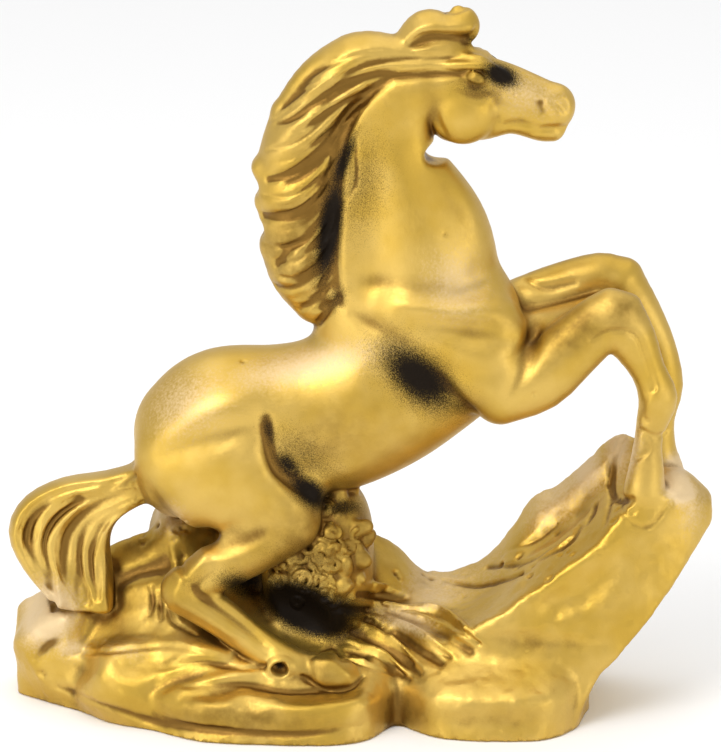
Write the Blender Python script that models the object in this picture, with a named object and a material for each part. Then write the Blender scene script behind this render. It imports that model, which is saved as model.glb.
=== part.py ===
"""Horse statuette: a rearing horse cast in one piece with its rocky plinth.

The horse faces +X, +Y is away from the viewer and +Z is up. The origin is under the middle of the
plinth, on the surface that the statuette stands on. The statuette is one casting, so it is one object.

The form is modelled as clay: a signed distance field on a grid, built up from lofted limbs and
ellipsoids that flow into each other, and cut with grooves. OpenVDB, which Blender's own voxel remesh
uses, turns the field into a mesh, and a Decimate modifier brings it to a light solid.
"""

import bmesh
import bpy
import numpy as np
import openvdb

# Driving dimensions, in metres.
FIGURE_HEIGHT = 0.107
PLINTH_LENGTH = 0.0875
PLINTH_DEPTH = 0.040
PLINTH_THICKNESS = 0.007

# The clay is drawn in millimetres for a figure of this height, with the plinth's rim at RIM_Z.
DRAWN_HEIGHT = 107.0
RIM_Z = 6.0
SCALE = FIGURE_HEIGHT / DRAWN_HEIGHT
STRETCH_X = PLINTH_LENGTH / SCALE / 87.5
STRETCH_Y = PLINTH_DEPTH / SCALE / 40.0
UNDERSIDE_Z = RIM_Z - PLINTH_THICKNESS / SCALE

VOXEL = 0.5
TRIANGLES = 9400
FAR = 50.0
NEAR_SIDE, FAR_SIDE = -1, 1

# The slope of the line of sight onto the front of the rock, 15 degrees from above. A level is a height in
# the plane that is seen so: z = level - VIEW_SLOPE * y.
VIEW_SLOPE = np.tan(np.radians(15))


class Clay:
    """A signed distance field on a grid, in drawn millimetres: negative inside the clay."""

    def __init__(self, low, high, voxel):
        self.low = np.array(low, float)
        self.voxel = voxel
        count = np.ceil((np.array(high, float) - self.low) / voxel).astype(int) + 1
        self.field = np.full(count, FAR, np.float32)
        self.axes = [(self.low[i] + voxel * np.arange(count[i])).astype(np.float32) for i in range(3)]

    def window(self, low, high):
        """The slices of the grid that hold a box, and the coordinates there as open arrays."""
        first = np.floor((np.array(low) - self.low) / self.voxel).astype(int)
        last = np.ceil((np.array(high) - self.low) / self.voxel).astype(int) + 1
        first = np.clip(first, 0, self.field.shape)
        last = np.clip(last, 0, self.field.shape)
        slices = tuple(slice(a, b) for a, b in zip(first, last))
        x, y, z = (self.axes[i][slices[i]] for i in range(3))
        return slices, x[:, None, None], y[None, :, None], z[None, None, :]

    def join(self, slices, distance, blend):
        """Smooth union of a shape with the clay."""
        old = self.field[slices]
        near = np.maximum(blend - np.abs(old - distance), 0) / blend
        self.field[slices] = np.minimum(old, distance) - near * near * blend * 0.25

    def cut(self, slices, distance, blend):
        """Smooth subtraction of a shape from the clay."""
        old = self.field[slices]
        near = np.maximum(blend - np.abs(old + distance), 0) / blend
        self.field[slices] = np.maximum(old, -distance) + near * near * blend * 0.25

    def blob(self, centre, radii, pitch=0.0, yaw=0.0, blend=1.5, carve=False):
        """An ellipsoid. pitch turns it about Y, nose up, and then yaw about Z, in degrees."""
        reach = max(radii) + blend + self.voxel
        centre = np.array(centre, float)
        slices, x, y, z = self.window(centre - reach, centre + reach)
        x, y, z = x - centre[0], y - centre[1], z - centre[2]
        turn, lift = np.radians(yaw), np.radians(pitch)
        x, y = x * np.cos(turn) + y * np.sin(turn), -x * np.sin(turn) + y * np.cos(turn)
        x, z = x * np.cos(lift) + z * np.sin(lift), -x * np.sin(lift) + z * np.cos(lift)
        distance = ellipsoid_distance((x, y, z), radii)
        (self.cut if carve else self.join)(slices, distance, blend)

    def limb(self, sections, blend=1.5, steps=3, carve=False):
        """A loft through sections (x, y, z, half thickness in the side view, half thickness in depth)."""
        path = smooth_path(sections, steps)
        widest = path[:, 3:].max() + blend + self.voxel
        slices, x, y, z = self.window(path[:, :3].min(0) - widest, path[:, :3].max(0) + widest)
        shape = tuple(s.stop - s.start for s in slices)
        distance = np.full(shape, FAR, np.float32)
        for start, end in zip(path[:-1], path[1:]):
            reach = max(start[3:].max(), end[3:].max()) + blend + self.voxel
            low = np.minimum(start[:3], end[:3]) - reach
            high = np.maximum(start[:3], end[:3]) + reach
            inner, x, y, z = self.window(low, high)
            local = tuple(slice(i.start - s.start, i.stop - s.start) for i, s in zip(inner, slices))
            distance[local] = np.minimum(distance[local], span_distance(x, y, z, start, end))
        (self.cut if carve else self.join)(slices, distance, blend)

    def sample(self, points):
        """The field at points, from the eight grid values around each."""
        at = (np.atleast_2d(points) - self.low) / self.voxel
        at = np.clip(at, 0, np.array(self.field.shape) - 1.001)
        base = at.astype(int)
        part = at - base
        total = np.zeros(len(at))
        for corner in np.ndindex(2, 2, 2):
            weight = np.prod(np.where(corner, part, 1 - part), axis=1)
            i, j, k = (base + corner).T
            total += weight * self.field[i, j, k]
        return total

    def skin(self, x, z, side, reach=26.0):
        """The depth y at which a line from one side, at this x and z, meets the clay, or None."""
        depths = side * np.arange(reach, -reach, -self.voxel * 0.5)
        line = np.column_stack([np.full_like(depths, x), depths, np.full_like(depths, z)])
        values = self.sample(line)
        inside = np.flatnonzero(values < 0)
        if not len(inside) or inside[0] == 0:
            return None
        i = inside[0]
        share = values[i - 1] / (values[i - 1] - values[i])
        return depths[i - 1] + share * (depths[i] - depths[i - 1])

    def seen(self, x, level):
        """The point of the clay that is seen from the front at this x and level."""
        depths = np.arange(-24, 24, self.voxel * 0.5)
        heights = level - VIEW_SLOPE * depths
        values = self.sample(np.column_stack([np.full_like(depths, x), depths, heights]))
        inside = np.flatnonzero(values < 0)
        first = inside[0] if len(inside) else len(depths) // 2
        return x, depths[first], heights[first]

    def on_skin(self, path, side, sink=0.0, flat=1.0):
        """Sections at points (x, z, radius) of the side view, laid on the surface and sunk by a share of
        their depth, which is flat times the radius."""
        laid = []
        for x, z, radius in path:
            y = self.skin(x, z, side)
            if y is None:
                y = laid[-1][1] if laid else 0.0
            laid.append((x, y - side * sink * flat * radius, z, radius, flat * radius))
        return laid

    def stroke(self, path, side, sink=0.0, blend=0.6, steps=3, carve=True, flat=1.0):
        """A groove, or a raised lock, along points (x, z, radius) drawn on one side of the figure."""
        dense = smooth_path(path, steps)
        self.limb(self.on_skin(dense, side, sink, flat), blend, 1, carve)

    def press(self, path, side, steps=4):
        """Presses the skin in along points (x, z, width, depth) drawn on one side of the figure, with soft
        edges, or out where the depth is negative."""
        laid = []
        for x, z, width, depth in smooth_path(path, steps):
            y = self.skin(x, z, side)
            if y is None:
                y = laid[-1][1] if laid else 0.0
            laid.append((x, y, z, width, depth))
        self.press_at(laid)

    def press_at(self, path):
        """Presses the skin in along points (x, y, z, width, depth), with soft edges."""
        rows = np.array(path, float)
        reach = 2.2 * rows[:, 3].max() + self.voxel
        slices, x, y, z = self.window(rows[:, :3].min(0) - reach, rows[:, :3].max(0) + reach)
        amount = np.zeros(tuple(s.stop - s.start for s in slices), np.float32)
        for start, end in zip(rows[:-1], rows[1:]):
            reach = 2.2 * max(start[3], end[3]) + self.voxel
            low, high = np.minimum(start[:3], end[:3]) - reach, np.maximum(start[:3], end[:3]) + reach
            inner, x, y, z = self.window(low, high)
            local = tuple(slice(i.start - s.start, i.stop - s.start) for i, s in zip(inner, slices))
            axis = end[:3] - start[:3]
            x, y, z = x - start[0], y - start[1], z - start[2]
            share = np.clip((x * axis[0] + y * axis[1] + z * axis[2]) / max(axis @ axis, 1e-9), 0, 1)
            far = (x - share * axis[0]) ** 2 + (y - share * axis[1]) ** 2 + (z - share * axis[2]) ** 2
            width = start[3] + share * (end[3] - start[3])
            here = (start[4] + share * (end[4] - start[4])) * np.exp(-far / (width * width))
            old = amount[local]
            amount[local] = np.where(np.abs(here) > np.abs(old), here, old)
        self.field[slices] += amount

    def soften(self, width):
        """Blurs the field over about this many millimetres, which rounds creases."""
        passes = int(round(2 * (width / self.voxel) ** 2))
        for _ in range(passes):
            for axis in range(3):
                inner = np.moveaxis(self.field, axis, 0)
                inner[1:-1] = 0.25 * inner[:-2] + 0.5 * inner[1:-1] + 0.25 * inner[2:]

    def mesh(self):
        """The clay's surface as points in drawn millimetres and quads."""
        grid = openvdb.FloatGrid(FAR)
        grid.copyFromArray(self.field)
        points, quads = grid.convertToQuads(0.0)
        return points * self.voxel + self.low, quads[:, ::-1]


def ellipsoid_distance(offset, radii):
    """About the distance to an ellipsoid, exact on its surface."""
    first = sum((o / r) ** 2 for o, r in zip(offset, radii))
    second = sum((o / (r * r)) ** 2 for o, r in zip(offset, radii))
    first = np.sqrt(first)
    return first * (first - 1.0) / np.sqrt(np.maximum(second, 1e-9))


def span_distance(x, y, z, start, end):
    """About the distance to one span of a limb, from one section to the next."""
    axis = end[:3] - start[:3]
    length = max(np.linalg.norm(axis), 1e-6)
    axis = axis / length
    side = np.array([0.0, 1.0, 0.0]) - axis * axis[1]
    side /= np.linalg.norm(side)
    normal = np.cross(axis, side)
    x, y, z = x - start[0], y - start[1], z - start[2]
    along = x * axis[0] + y * axis[1] + z * axis[2]
    share = np.clip(along / length, 0, 1)
    beyond = along - share * length
    thick = start[3] + share * (end[3] - start[3])
    deep = start[4] + share * (end[4] - start[4])
    up = x * normal[0] + y * normal[1] + z * normal[2]
    out = x * side[0] + y * side[1] + z * side[2]
    return ellipsoid_distance((up, out, beyond), (thick, deep, np.minimum(thick, deep)))


def smooth_path(points, steps):
    """A Catmull-Rom curve through rows of numbers, with so many steps between each two."""
    rows = np.array(points, float)
    if steps < 2 or len(rows) < 3:
        return rows
    before = np.vstack([2 * rows[0] - rows[1], rows[:-1]])
    after = np.vstack([rows[1:], 2 * rows[-1] - rows[-2]])
    tangent = (after - before) / 2
    path = []
    for i in range(len(rows) - 1):
        for t in np.arange(steps) / steps:
            path.append(
                (2 * t**3 - 3 * t**2 + 1) * rows[i]
                + (t**3 - 2 * t**2 + t) * tangent[i]
                + (3 * t**2 - 2 * t**3) * rows[i + 1]
                + (t**3 - t**2) * tangent[i + 1]
            )
    return np.array(path + [rows[-1]])


def both_sides(rows, side):
    """Rows (x, y, z, ...) drawn for the far side, taken to one side."""
    return [(row[0], side * row[1], *row[2:]) for row in rows]


# The plinth in cross sections along X: x, then points (y, z) over the top from the front rim to the back.
PLINTH_SECTIONS = [
    (-52.8, 3, 4.5, 4, 9, 5.5, 12, 7.5, 12, 10, 5),
    (-49, 0, 4.5, 2, 9.5, 4.5, 13.6, 8.5, 13.6, 14, 7),
    (-39, -8, 4.5, -6.5, 8, -4, 9.5, 6, 22, 17, 7),
    (-31, -14, 4, -11, 7, -8.5, 10, 6, 24, 19, 7),
    (-24, -19, 4.2, -15, 6.5, -12, 10.5, 2, 18, 20, 6),
    (-14, -20.5, 4, -16, 6.5, -13, 8, 0, 15, 20, 7),
    (-4, -20.5, 4.6, -17, 5, -12, 7.5, 0, 13, 20, 6),
    (1.5, -18, 4.8, -14, 6.5, -10, 8.5, 0, 12.5, 19, 5),
    (5.5, -11.5, 4.2, -9.5, 7.5, -7, 9.5, 0, 13, 18, 5),
    (12, -17.5, 4.8, -11.5, 9.2, -8, 11.0, 0, 13, 18, 6),
    (26, -18.5, 5, -11.5, 10.2, -8, 12.0, 0, 13, 17, 6),
    (32, -13.5, 4.8, -9.5, 9.0, -6, 11, 0, 11, 12, 5),
    (35, -4, 4, -3, 5, 0, 7, 3, 7, 6, 4),
]

# The ramp in cross sections along X: x, points (y, z) over its top, and the height of its underside.
RAMP_SECTIONS = [
    (1.5, -6, 8, 0, 15, 8, 24, -9),
    (5.5, -7, 9, 0, 14.5, 9, 21, -9),
    (9, -9, 10.5, -1, 14.5, 9, 17.2, -9),
    (15, -11, 13, -1, 14.5, 9, 17.4, -9),
    (20.5, -11.5, 16, -1, 17, 9, 20.4, -9),
    (26.5, -10.5, 19.8, -1, 22.5, 9, 29.3, -9),
    (30, -10, 22, -2, 25, 8.5, 31, -9),
    (34.6, -9.3, 25.2, -2, 28.4, 8, 35.6, 4),
    (40, -8, 31.6, -1, 33, 7, 40.0, 10.6),
    (45.4, -7, 33.4, 0, 34.6, 6, 36.6, 17.2),
    (49.8, -5.5, 32.8, 0, 33.8, 4.5, 33.8, 23.6),
    (53.2, -2.5, 31.0, 0, 31.6, 2.5, 31, 28.2),
]


# Crests (negative depth) and hollows over the front of the mound: points (x, y, z, width, depth).
ROCK_FOLDS = [
    [
        (-47, -1, 6.8, 1.2, -0.3),
        (-39, -6.5, 8.0, 1.2, -0.9),
        (-31.6, -8.5, 10.0, 1.3, -1.1),
        (-24, -11.5, 10.7, 1.2, -0.9),
        (-18.6, -11.2, 9.8, 1.0, -0.2),
    ],
    [
        (-36, -11.0, 4.6, 1.0, -0.3),
        (-32, -12.4, 5.8, 1.2, -0.9),
        (-27.6, -12.4, 8.4, 1.2, -0.9),
        (-24.2, -12.0, 10.0, 1.0, -0.2),
    ],
    [
        (-32, -14.6, 3.8, 1.0, -0.3),
        (-27, -15.8, 5.2, 1.2, -0.9),
        (-20, -14.8, 7.2, 1.2, -1.0),
        (-14.4, -13.0, 8.2, 1.0, -0.6),
        (-10, -14.2, 7.2, 0.9, -0.2),
    ],
    [
        (-30, -16.0, 3.2, 1.0, -0.5),
        (-23, -19.0, 4.2, 1.1, -0.8),
        (-19, -18.6, 4.8, 1.1, -0.9),
        (-16.6, -17.6, 5.6, 1.1, -0.9),
        (-9, -20.2, 4.2, 1.1, -0.8),
        (1.4, -17.8, 4.8, 1.0, -0.6),
    ],
    [
        (-44, -5.4, 5.6, 1.1, 0.2),
        (-37, -9.6, 6.0, 1.3, 0.35),
        (-30.4, -10.2, 8.0, 1.2, 0.3),
        (-26.4, -11.2, 9.0, 1.0, 0.3),
    ],
    [(-31, -13.4, 5.2, 1.0, 0.3), (-25, -13.8, 7.6, 1.3, 0.8), (-19, -13.0, 8.6, 1.1, 0.4)],
    [
        (-28, -16.4, 4.6, 1.0, 0.3),
        (-20, -16.6, 6.2, 1.2, 0.7),
        (-13, -16.4, 6.2, 1.2, 0.7),
        (-6, -16.0, 5.8, 1.1, 0.5),
        (0, -14.6, 6.4, 0.9, 0.2),
    ],
    [
        (-40, -11, 0.9, 1.0, 0.3),
        (-30, -17.0, 0.6, 1.2, 0.7),
        (-16, -21.2, 0.4, 1.2, 0.7),
        (-4, -21.2, 0.6, 1.0, 0.4),
    ],
    [(11, -18.4, 1.4, 1.2, 0.3), (18, -19.2, 2.2, 1.6, 0.6), (27, -19.4, 1.6, 1.2, 0.3)],
    [(-38, 0.6, 15.4, 1.0, 0.3), (-34.6, 1.6, 18.0, 1.1, 1.2), (-30.0, 1.6, 19.4, 1.1, 1.2)],
]

# The hollow on the ramp's front face and the groove at its foot, in the side view: (x, z, width, depth).
RAMP_FOLDS = [
    [
        (39.0, 24.4, 1.2, 0.15),
        (36.6, 21.6, 1.5, 0.6),
        (33.6, 18.6, 1.8, 0.9),
        (30.0, 17.4, 1.8, 0.8),
        (26.0, 16.6, 1.4, 0.3),
    ],
    [(34.6, 22.6, 2.0, 0.3), (32.4, 20.4, 2.4, 0.5), (29.4, 18.8, 2.0, 0.3)],
    [(37.4, 26.2, 1.2, -0.2), (33.0, 23.6, 1.4, -0.35), (28.0, 20.0, 1.3, -0.25)],
    [(20.0, 12.4, 1.2, 0.2), (26.0, 12.0, 1.5, 0.5), (33.0, 11.2, 1.3, 0.3)],
]


def crag(clay, sections, flare, blend, underside=-9.0):
    """Rock through cross sections. Its front and back faces lean out by flare downwards."""
    rows = np.array(sections, float)
    if rows.shape[1] % 2:
        rows = np.column_stack([rows, np.full(len(rows), underside)])
    rows = smooth_path(rows, 4)
    rows[:, 0] *= STRETCH_X
    rows[:, 1:-1:2] *= STRETCH_Y
    low = (rows[0, 0] - 2, rows[:, 1].min() - 8, UNDERSIDE_Z - 3)
    high = (rows[-1, 0] + 2, rows[:, -3].max() + 8, rows[:, 2:-1:2].max() + 2)
    slices, x, y, z = clay.window(low, high)
    here = [np.interp(x[:, 0, 0], rows[:, 0], column)[:, None, None] for column in rows[:, 1:].T]
    depths, heights, under = here[0:-1:2], here[1:-1:2], here[-1]
    top = heights[0]
    for i in range(len(depths) - 1):
        share = np.clip((y - depths[i]) / (depths[i + 1] - depths[i]), 0, 1)
        top = top + share * (heights[i + 1] - heights[i])
    distance = np.maximum(0.75 * (z - top), 0.75 * (under - z))
    distance = np.maximum(distance, depths[0] - flare * (heights[0] - z) - y)
    distance = np.maximum(distance, y - depths[-1] - flare * (heights[-1] - z))
    distance = np.maximum(distance, np.maximum(rows[0, 0] - x, x - rows[-1, 0]))
    clay.join(slices, distance.astype(np.float32), blend)


def boulder(clay, centre, radii, seed, faces=16, blend=0.8, carve=False):
    """A rock with flat faces that touch an ellipsoid, turned at random."""
    spread = np.random.default_rng(seed)
    normals = spread.normal(size=(faces, 3))
    normals /= np.linalg.norm(normals, axis=1)[:, None]
    centre, radii = np.array(centre, float), np.array(radii, float)
    reach = radii * 1.5 + blend + 1
    slices, x, y, z = clay.window(centre - reach, centre + reach)
    distance = ellipsoid_distance((x - centre[0], y - centre[1], z - centre[2]), radii * 1.3)
    for normal in normals:
        across = (x - centre[0]) * normal[0] + (y - centre[1]) * normal[1] + (z - centre[2]) * normal[2]
        distance = np.maximum(distance, across - np.linalg.norm(radii * normal))
    (clay.cut if carve else clay.join)(slices, distance.astype(np.float32), blend)


def plinth(clay):
    """The rock slab and the mound that the horse crouches on."""
    crag(clay, PLINTH_SECTIONS, 0.12, 1.0)
    for centre, radii, seed in (
        ((-45, 4, 6), (7.5, 8, 9), 3),
        ((-35, 5, 10), (7, 6, 7.5), 5),
        ((-21, 9, 16), (8, 6, 9), 6),
        ((-26.6, 8.6, 21.6), (5.4, 5.0, 8.2), 14),
        ((-33, -7, 3), (9, 7, 6), 8),
        ((-20, 12, 8), (12, 8, 8), 9),
        ((4, 13, 7), (11, 6, 7), 11),
        ((25, 12, 5), (10, 6, 6), 12),
    ):
        boulder(clay, centre, radii, seed)
    clay.soften(0.6)
    for fold in ROCK_FOLDS:
        clay.press_at(smooth_path(fold, 4))


def ramp(clay):
    """The rock that rises to the right and carries the forefeet, higher at its back."""
    crag(clay, RAMP_SECTIONS, 0.16, 1.0)
    clay.blob((47.2, 0, 30.5), (4.6, 5.5, 4.6), pitch=-30, blend=1.5)
    clay.blob((32, 0.5, 31), (14, 3.4, 3.5), pitch=44, blend=1.5, carve=True)
    clay.soften(0.6)
    for fold in RAMP_FOLDS:
        clay.press(fold, NEAR_SIDE)


def body(clay):
    """Barrel, croup, breast, neck and crest."""
    clay.limb(
        [
            (-24.5, 0, 40.7, 10.2, 9.5),
            (-20, 0, 42.3, 12, 10.3),
            (-12, 0, 43.2, 11.5, 9.6),
            (-5, 0, 44, 12, 9.3),
            (2.5, 0, 47.3, 12, 9.6),
            (9, 0, 52, 12, 9.3),
            (14, 0, 55.5, 11.5, 8.6),
        ],
        steps=5,
    )
    clay.limb(
        [
            (9.0, 0, 58, 12, 8.8),
            (9.4, 0, 69, 10.9, 7.8),
            (8.0, 0, 75.5, 9.2, 6.8),
            (6.4, 0, 80.9, 6.6, 5.8),
            (5.7, 0, 85.5, 5.2, 5.1),
            (6.2, 0, 90, 4.8, 4.6),
            (7.6, 0, 93.6, 4.4, 4.2),
        ],
        blend=4,
        steps=5,
    )
    clay.limb(
        [
            (4, 0, 94, 4, 4),
            (-0.5, 0, 87, 5, 4.4),
            (-1.5, 0, 78, 6, 5),
            (-1.5, 0, 68, 6.5, 6),
            (0, 0, 60, 7, 6.5),
        ],
        blend=3,
        steps=5,
    )
    clay.blob((17.6, 0, 58.5), (6.2, 7.5, 8), blend=4)
    clay.soften(0.7)


# Furrows and swellings of the muscles of one side, drawn in the side view: points (x, z, width, depth),
# where a swelling has a negative depth.
MUSCLES = {
    "above the shoulder": [
        (-1.5, 66.4, 1.8, 0.1),
        (3.0, 66.0, 2.0, 0.5),
        (7.6, 65.2, 2.2, 0.75),
        (12.6, 64.6, 2.2, 0.8),
        (17.0, 65.6, 2.0, 0.6),
        (20.6, 67.4, 1.8, 0.2),
    ],
    "shoulder": [
        (2.0, 63.6, 1.8, -0.1),
        (9.0, 62.8, 1.8, -0.5),
        (15.6, 62.2, 1.8, -0.6),
        (22.4, 62.2, 1.8, -0.3),
    ],
    "under the shoulder": [
        (6.4, 61.4, 1.4, 0.2),
        (11.0, 60.4, 1.6, 0.6),
        (16.6, 59.2, 1.8, 0.75),
        (22.6, 58.6, 1.6, 0.5),
    ],
    "withers": [(-1.0, 61.4, 1.0, 0.2), (2.6, 59.6, 1.2, 0.5), (6.6, 57.6, 1.3, 0.3)],
    "upper arm": [(10.0, 56.6, 2.2, -0.2), (15.0, 55.8, 2.4, -0.5), (20.6, 54.6, 2.4, -0.4)],
    "elbow": [
        (26.4, 59.6, 1.0, 0.2),
        (25.6, 57.0, 1.3, 0.7),
        (24.0, 53.4, 1.3, 0.6),
        (21.8, 49.0, 1.1, 0.25),
    ],
    "girth": [
        (9.8, 53.8, 1.1, 0.2),
        (11.8, 51.8, 1.1, 0.8),
        (13.9, 49.4, 1.0, 1.2),
        (16.4, 46.8, 1.1, 0.9),
    ],
    "flank": [
        (-14.2, 47.6, 2.0, 0.15),
        (-13.6, 43.6, 2.2, 0.55),
        (-11.8, 39.4, 2.0, 0.9),
        (-9.0, 35.8, 1.8, 0.9),
        (-6.2, 32.2, 1.6, 0.4),
    ],
    "hip": [
        (-29.0, 40.6, 1.8, 0.3),
        (-24.6, 42.6, 2.2, 0.6),
        (-19.4, 44.0, 2.2, 0.7),
        (-14.6, 44.6, 1.8, 0.4),
    ],
    "stifle": [
        (-13.9, 46.0, 0.9, 0.3),
        (-13.6, 42.0, 0.9, 0.8),
        (-12.4, 38.4, 0.9, 0.9),
        (-10.0, 36.0, 1.0, 0.6),
        (-7.0, 34.0, 0.9, 0.3),
    ],
    "haunch": [(-25.0, 47.0, 2.6, -0.2), (-18.0, 48.6, 3.0, -0.4), (-12.6, 48.2, 2.6, -0.1)],
    "buttock": [
        (-31.4, 34.4, 1.4, 0.3),
        (-29.2, 30.4, 1.6, 0.9),
        (-26.0, 27.8, 1.6, 1.2),
        (-21.9, 27.0, 1.7, 1.2),
        (-17.4, 27.6, 1.6, 0.9),
        (-14.0, 29.0, 1.4, 0.3),
    ],
    "gullet": [
        (6.4, 86.5, 2.2, 0.3),
        (9.6, 80.4, 2.8, 0.5),
        (12.6, 75.2, 3.0, 0.5),
        (14.4, 70.6, 2.6, 0.2),
    ],
    "windpipe": [(12.0, 84.0, 1.6, -0.1), (15.6, 78.0, 1.8, -0.3), (18.0, 72.4, 1.8, -0.1)],
}


def muscles(clay, side):
    """The hollows and the furrows between the muscles of one side."""
    clay.blob((6.5, side * 12.9, 53.0), (6, 3.4, 6.5), pitch=-35, blend=3.5, carve=True)
    clay.blob((-3.5, side * 12.6, 38.4), (6, 3.2, 3.4), pitch=15, blend=3.0, carve=True)
    for points in MUSCLES.values():
        clay.press(points, side)
    clay.press([(11.2, 91.2, 0.5, 0.1), (11.5, 89.2, 0.7, 0.5), (12.4, 87.6, 0.6, 0.3)], side)


def head(clay):
    """Skull, face, jaw and cheeks, in profile."""
    clay.limb(
        [
            (9.5, 0, 94.6, 4.3, 4.0),
            (15.0, 0, 95.0, 4.3, 4.1),
            (20.1, 0, 93.5, 4.5, 3.3),
            (24.6, 0, 91.7, 4.4, 2.8),
            (27.6, 0, 91.0, 3.8, 2.7),
            (28.8, 0, 90.4, 3.3, 2.6),
        ],
        blend=2,
        steps=5,
    )
    clay.blob((28.7, 0, 91.2), (2.6, 2.7, 3.2), pitch=-25, blend=1.0)
    clay.limb(
        [
            (13.5, 0, 89.5, 3.6, 3.0),
            (17.9, 0, 88.9, 2.8, 2.4),
            (22.4, 0, 89.2, 2.1, 2.0),
            (26.6, 0, 88.2, 2.2, 2.1),
            (28.4, 0, 87.9, 2.0, 1.9),
        ],
        blend=0.9,
        steps=5,
    )
    clay.blob((11.6, 0, 84.4), (2.1, 9, 1.5), blend=0.8, carve=True)
    for side in (NEAR_SIDE, FAR_SIDE):
        clay.blob((15.2, side * 2.0, 90.8), (4.8, 2.7, 4.9), blend=0.9)
        brow = [(14.2, 2.9, 98.2, 0.9, 0.9), (17.4, 3.2, 98.4, 1.0, 1.0), (21, 2.5, 95.6, 0.8, 0.8)]
        clay.limb(both_sides(brow, side), 1.2)
        clay.blob((16.8, side * 3.9, 96.2), (1.6, 0.8, 0.9), pitch=-25, blend=0.3)
        clay.stroke([(14.8, 96.8, 0.15), (16.6, 97.5, 0.35), (18.9, 96.2, 0.2)], side, blend=0.3)
        clay.stroke([(14.9, 96.0, 0.15), (16.6, 94.9, 0.35), (18.7, 95.0, 0.15)], side, blend=0.3)
        clay.press([(14.0, 94.6, 0.8, 0.2), (17.0, 93.6, 1.0, 0.5), (20.4, 93.8, 0.8, 0.3)], side)
        clay.stroke([(20.5, 92.4, 1.2), (24.5, 90.8, 1.6), (27.5, 90.6, 1.0)], side, sink=-0.85, blend=1.0)
        clay.press([(28.4, 92.6, 0.5, 0.3), (29.6, 91.9, 0.6, 0.9), (30.2, 90.9, 0.5, 0.4)], side)
        clay.press([(21.4, 88.8, 0.5, 0.3), (23.6, 89.2, 0.6, 0.7), (25.8, 88.6, 0.5, 0.4)], side)
        clay.press([(25.6, 87.6, 0.4, 0.2), (27.4, 88.2, 0.5, 0.7), (30.8, 88.0, 0.5, 0.9)], side)
        clay.press([(24.2, 93.2, 0.5, 0.2), (26.0, 92.2, 0.6, 0.4), (27.0, 91.0, 0.5, 0.2)], side)


def forelock(clay):
    """The hair swept over the poll and folded up into a curl above the forehead."""
    clay.limb([
        (-1, 0, 98.6, 3, 3.6),
        (6, 0, 98.8, 2.6, 3.6),
        (12, 0, 99.2, 1.9, 3.4),
        (18.2, 0, 98.6, 0.9, 2.4),
    ], 1.0)
    clay.limb(
        [
            (6.4, 0, 100.4, 1.8, 2.6),
            (9.6, 0, 102.6, 2.9, 2.9),
            (12.6, 0, 102.4, 2.7, 2.8),
            (14.9, 0, 103.4, 2.9, 2.6),
        ],
        blend=0.8,
        steps=5,
    )
    for side in (NEAR_SIDE, FAR_SIDE):
        for fold in FORELOCK_FOLDS:
            clay.press(fold, side)


# Folds over the poll and round the curl, in the side view: points (x, z, width, depth).
FORELOCK_FOLDS = [
    [(7.0, 102.0, 0.6, -0.2), (9.4, 103.4, 0.7, -0.6), (13.0, 103.6, 0.8, -0.7), (16.0, 103.4, 0.7, -0.5)],
    [(7.4, 100.8, 0.6, 0.3), (9.6, 102.0, 0.7, 0.9), (12.4, 102.0, 0.7, 1.0), (15.6, 101.6, 0.7, 0.9)],
    [(15.6, 101.6, 0.7, 0.8), (16.8, 102.6, 0.6, 0.5)],
    [(12.6, 105.4, 0.5, 0.3), (14.2, 105.8, 0.6, 1.0), (15.8, 106.2, 0.5, 0.4)],
    [(8.6, 100.0, 0.6, -0.2), (12.0, 100.6, 0.7, -0.6), (16.2, 100.2, 0.6, -0.3)],
    [(5.0, 99.0, 0.5, 0.2), (10.0, 99.0, 0.6, 0.7), (15.6, 99.0, 0.6, 0.7), (18.8, 98.6, 0.4, 0.2)],
    [(6.0, 97.4, 0.6, -0.2), (12.0, 98.0, 0.7, -0.6), (18.0, 98.0, 0.6, -0.6), (21.0, 97.0, 0.5, -0.2)],
    [(4.0, 96.2, 0.6, 0.2), (10.0, 96.6, 0.6, 0.7), (16.0, 96.8, 0.5, 0.5)],
]


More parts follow.
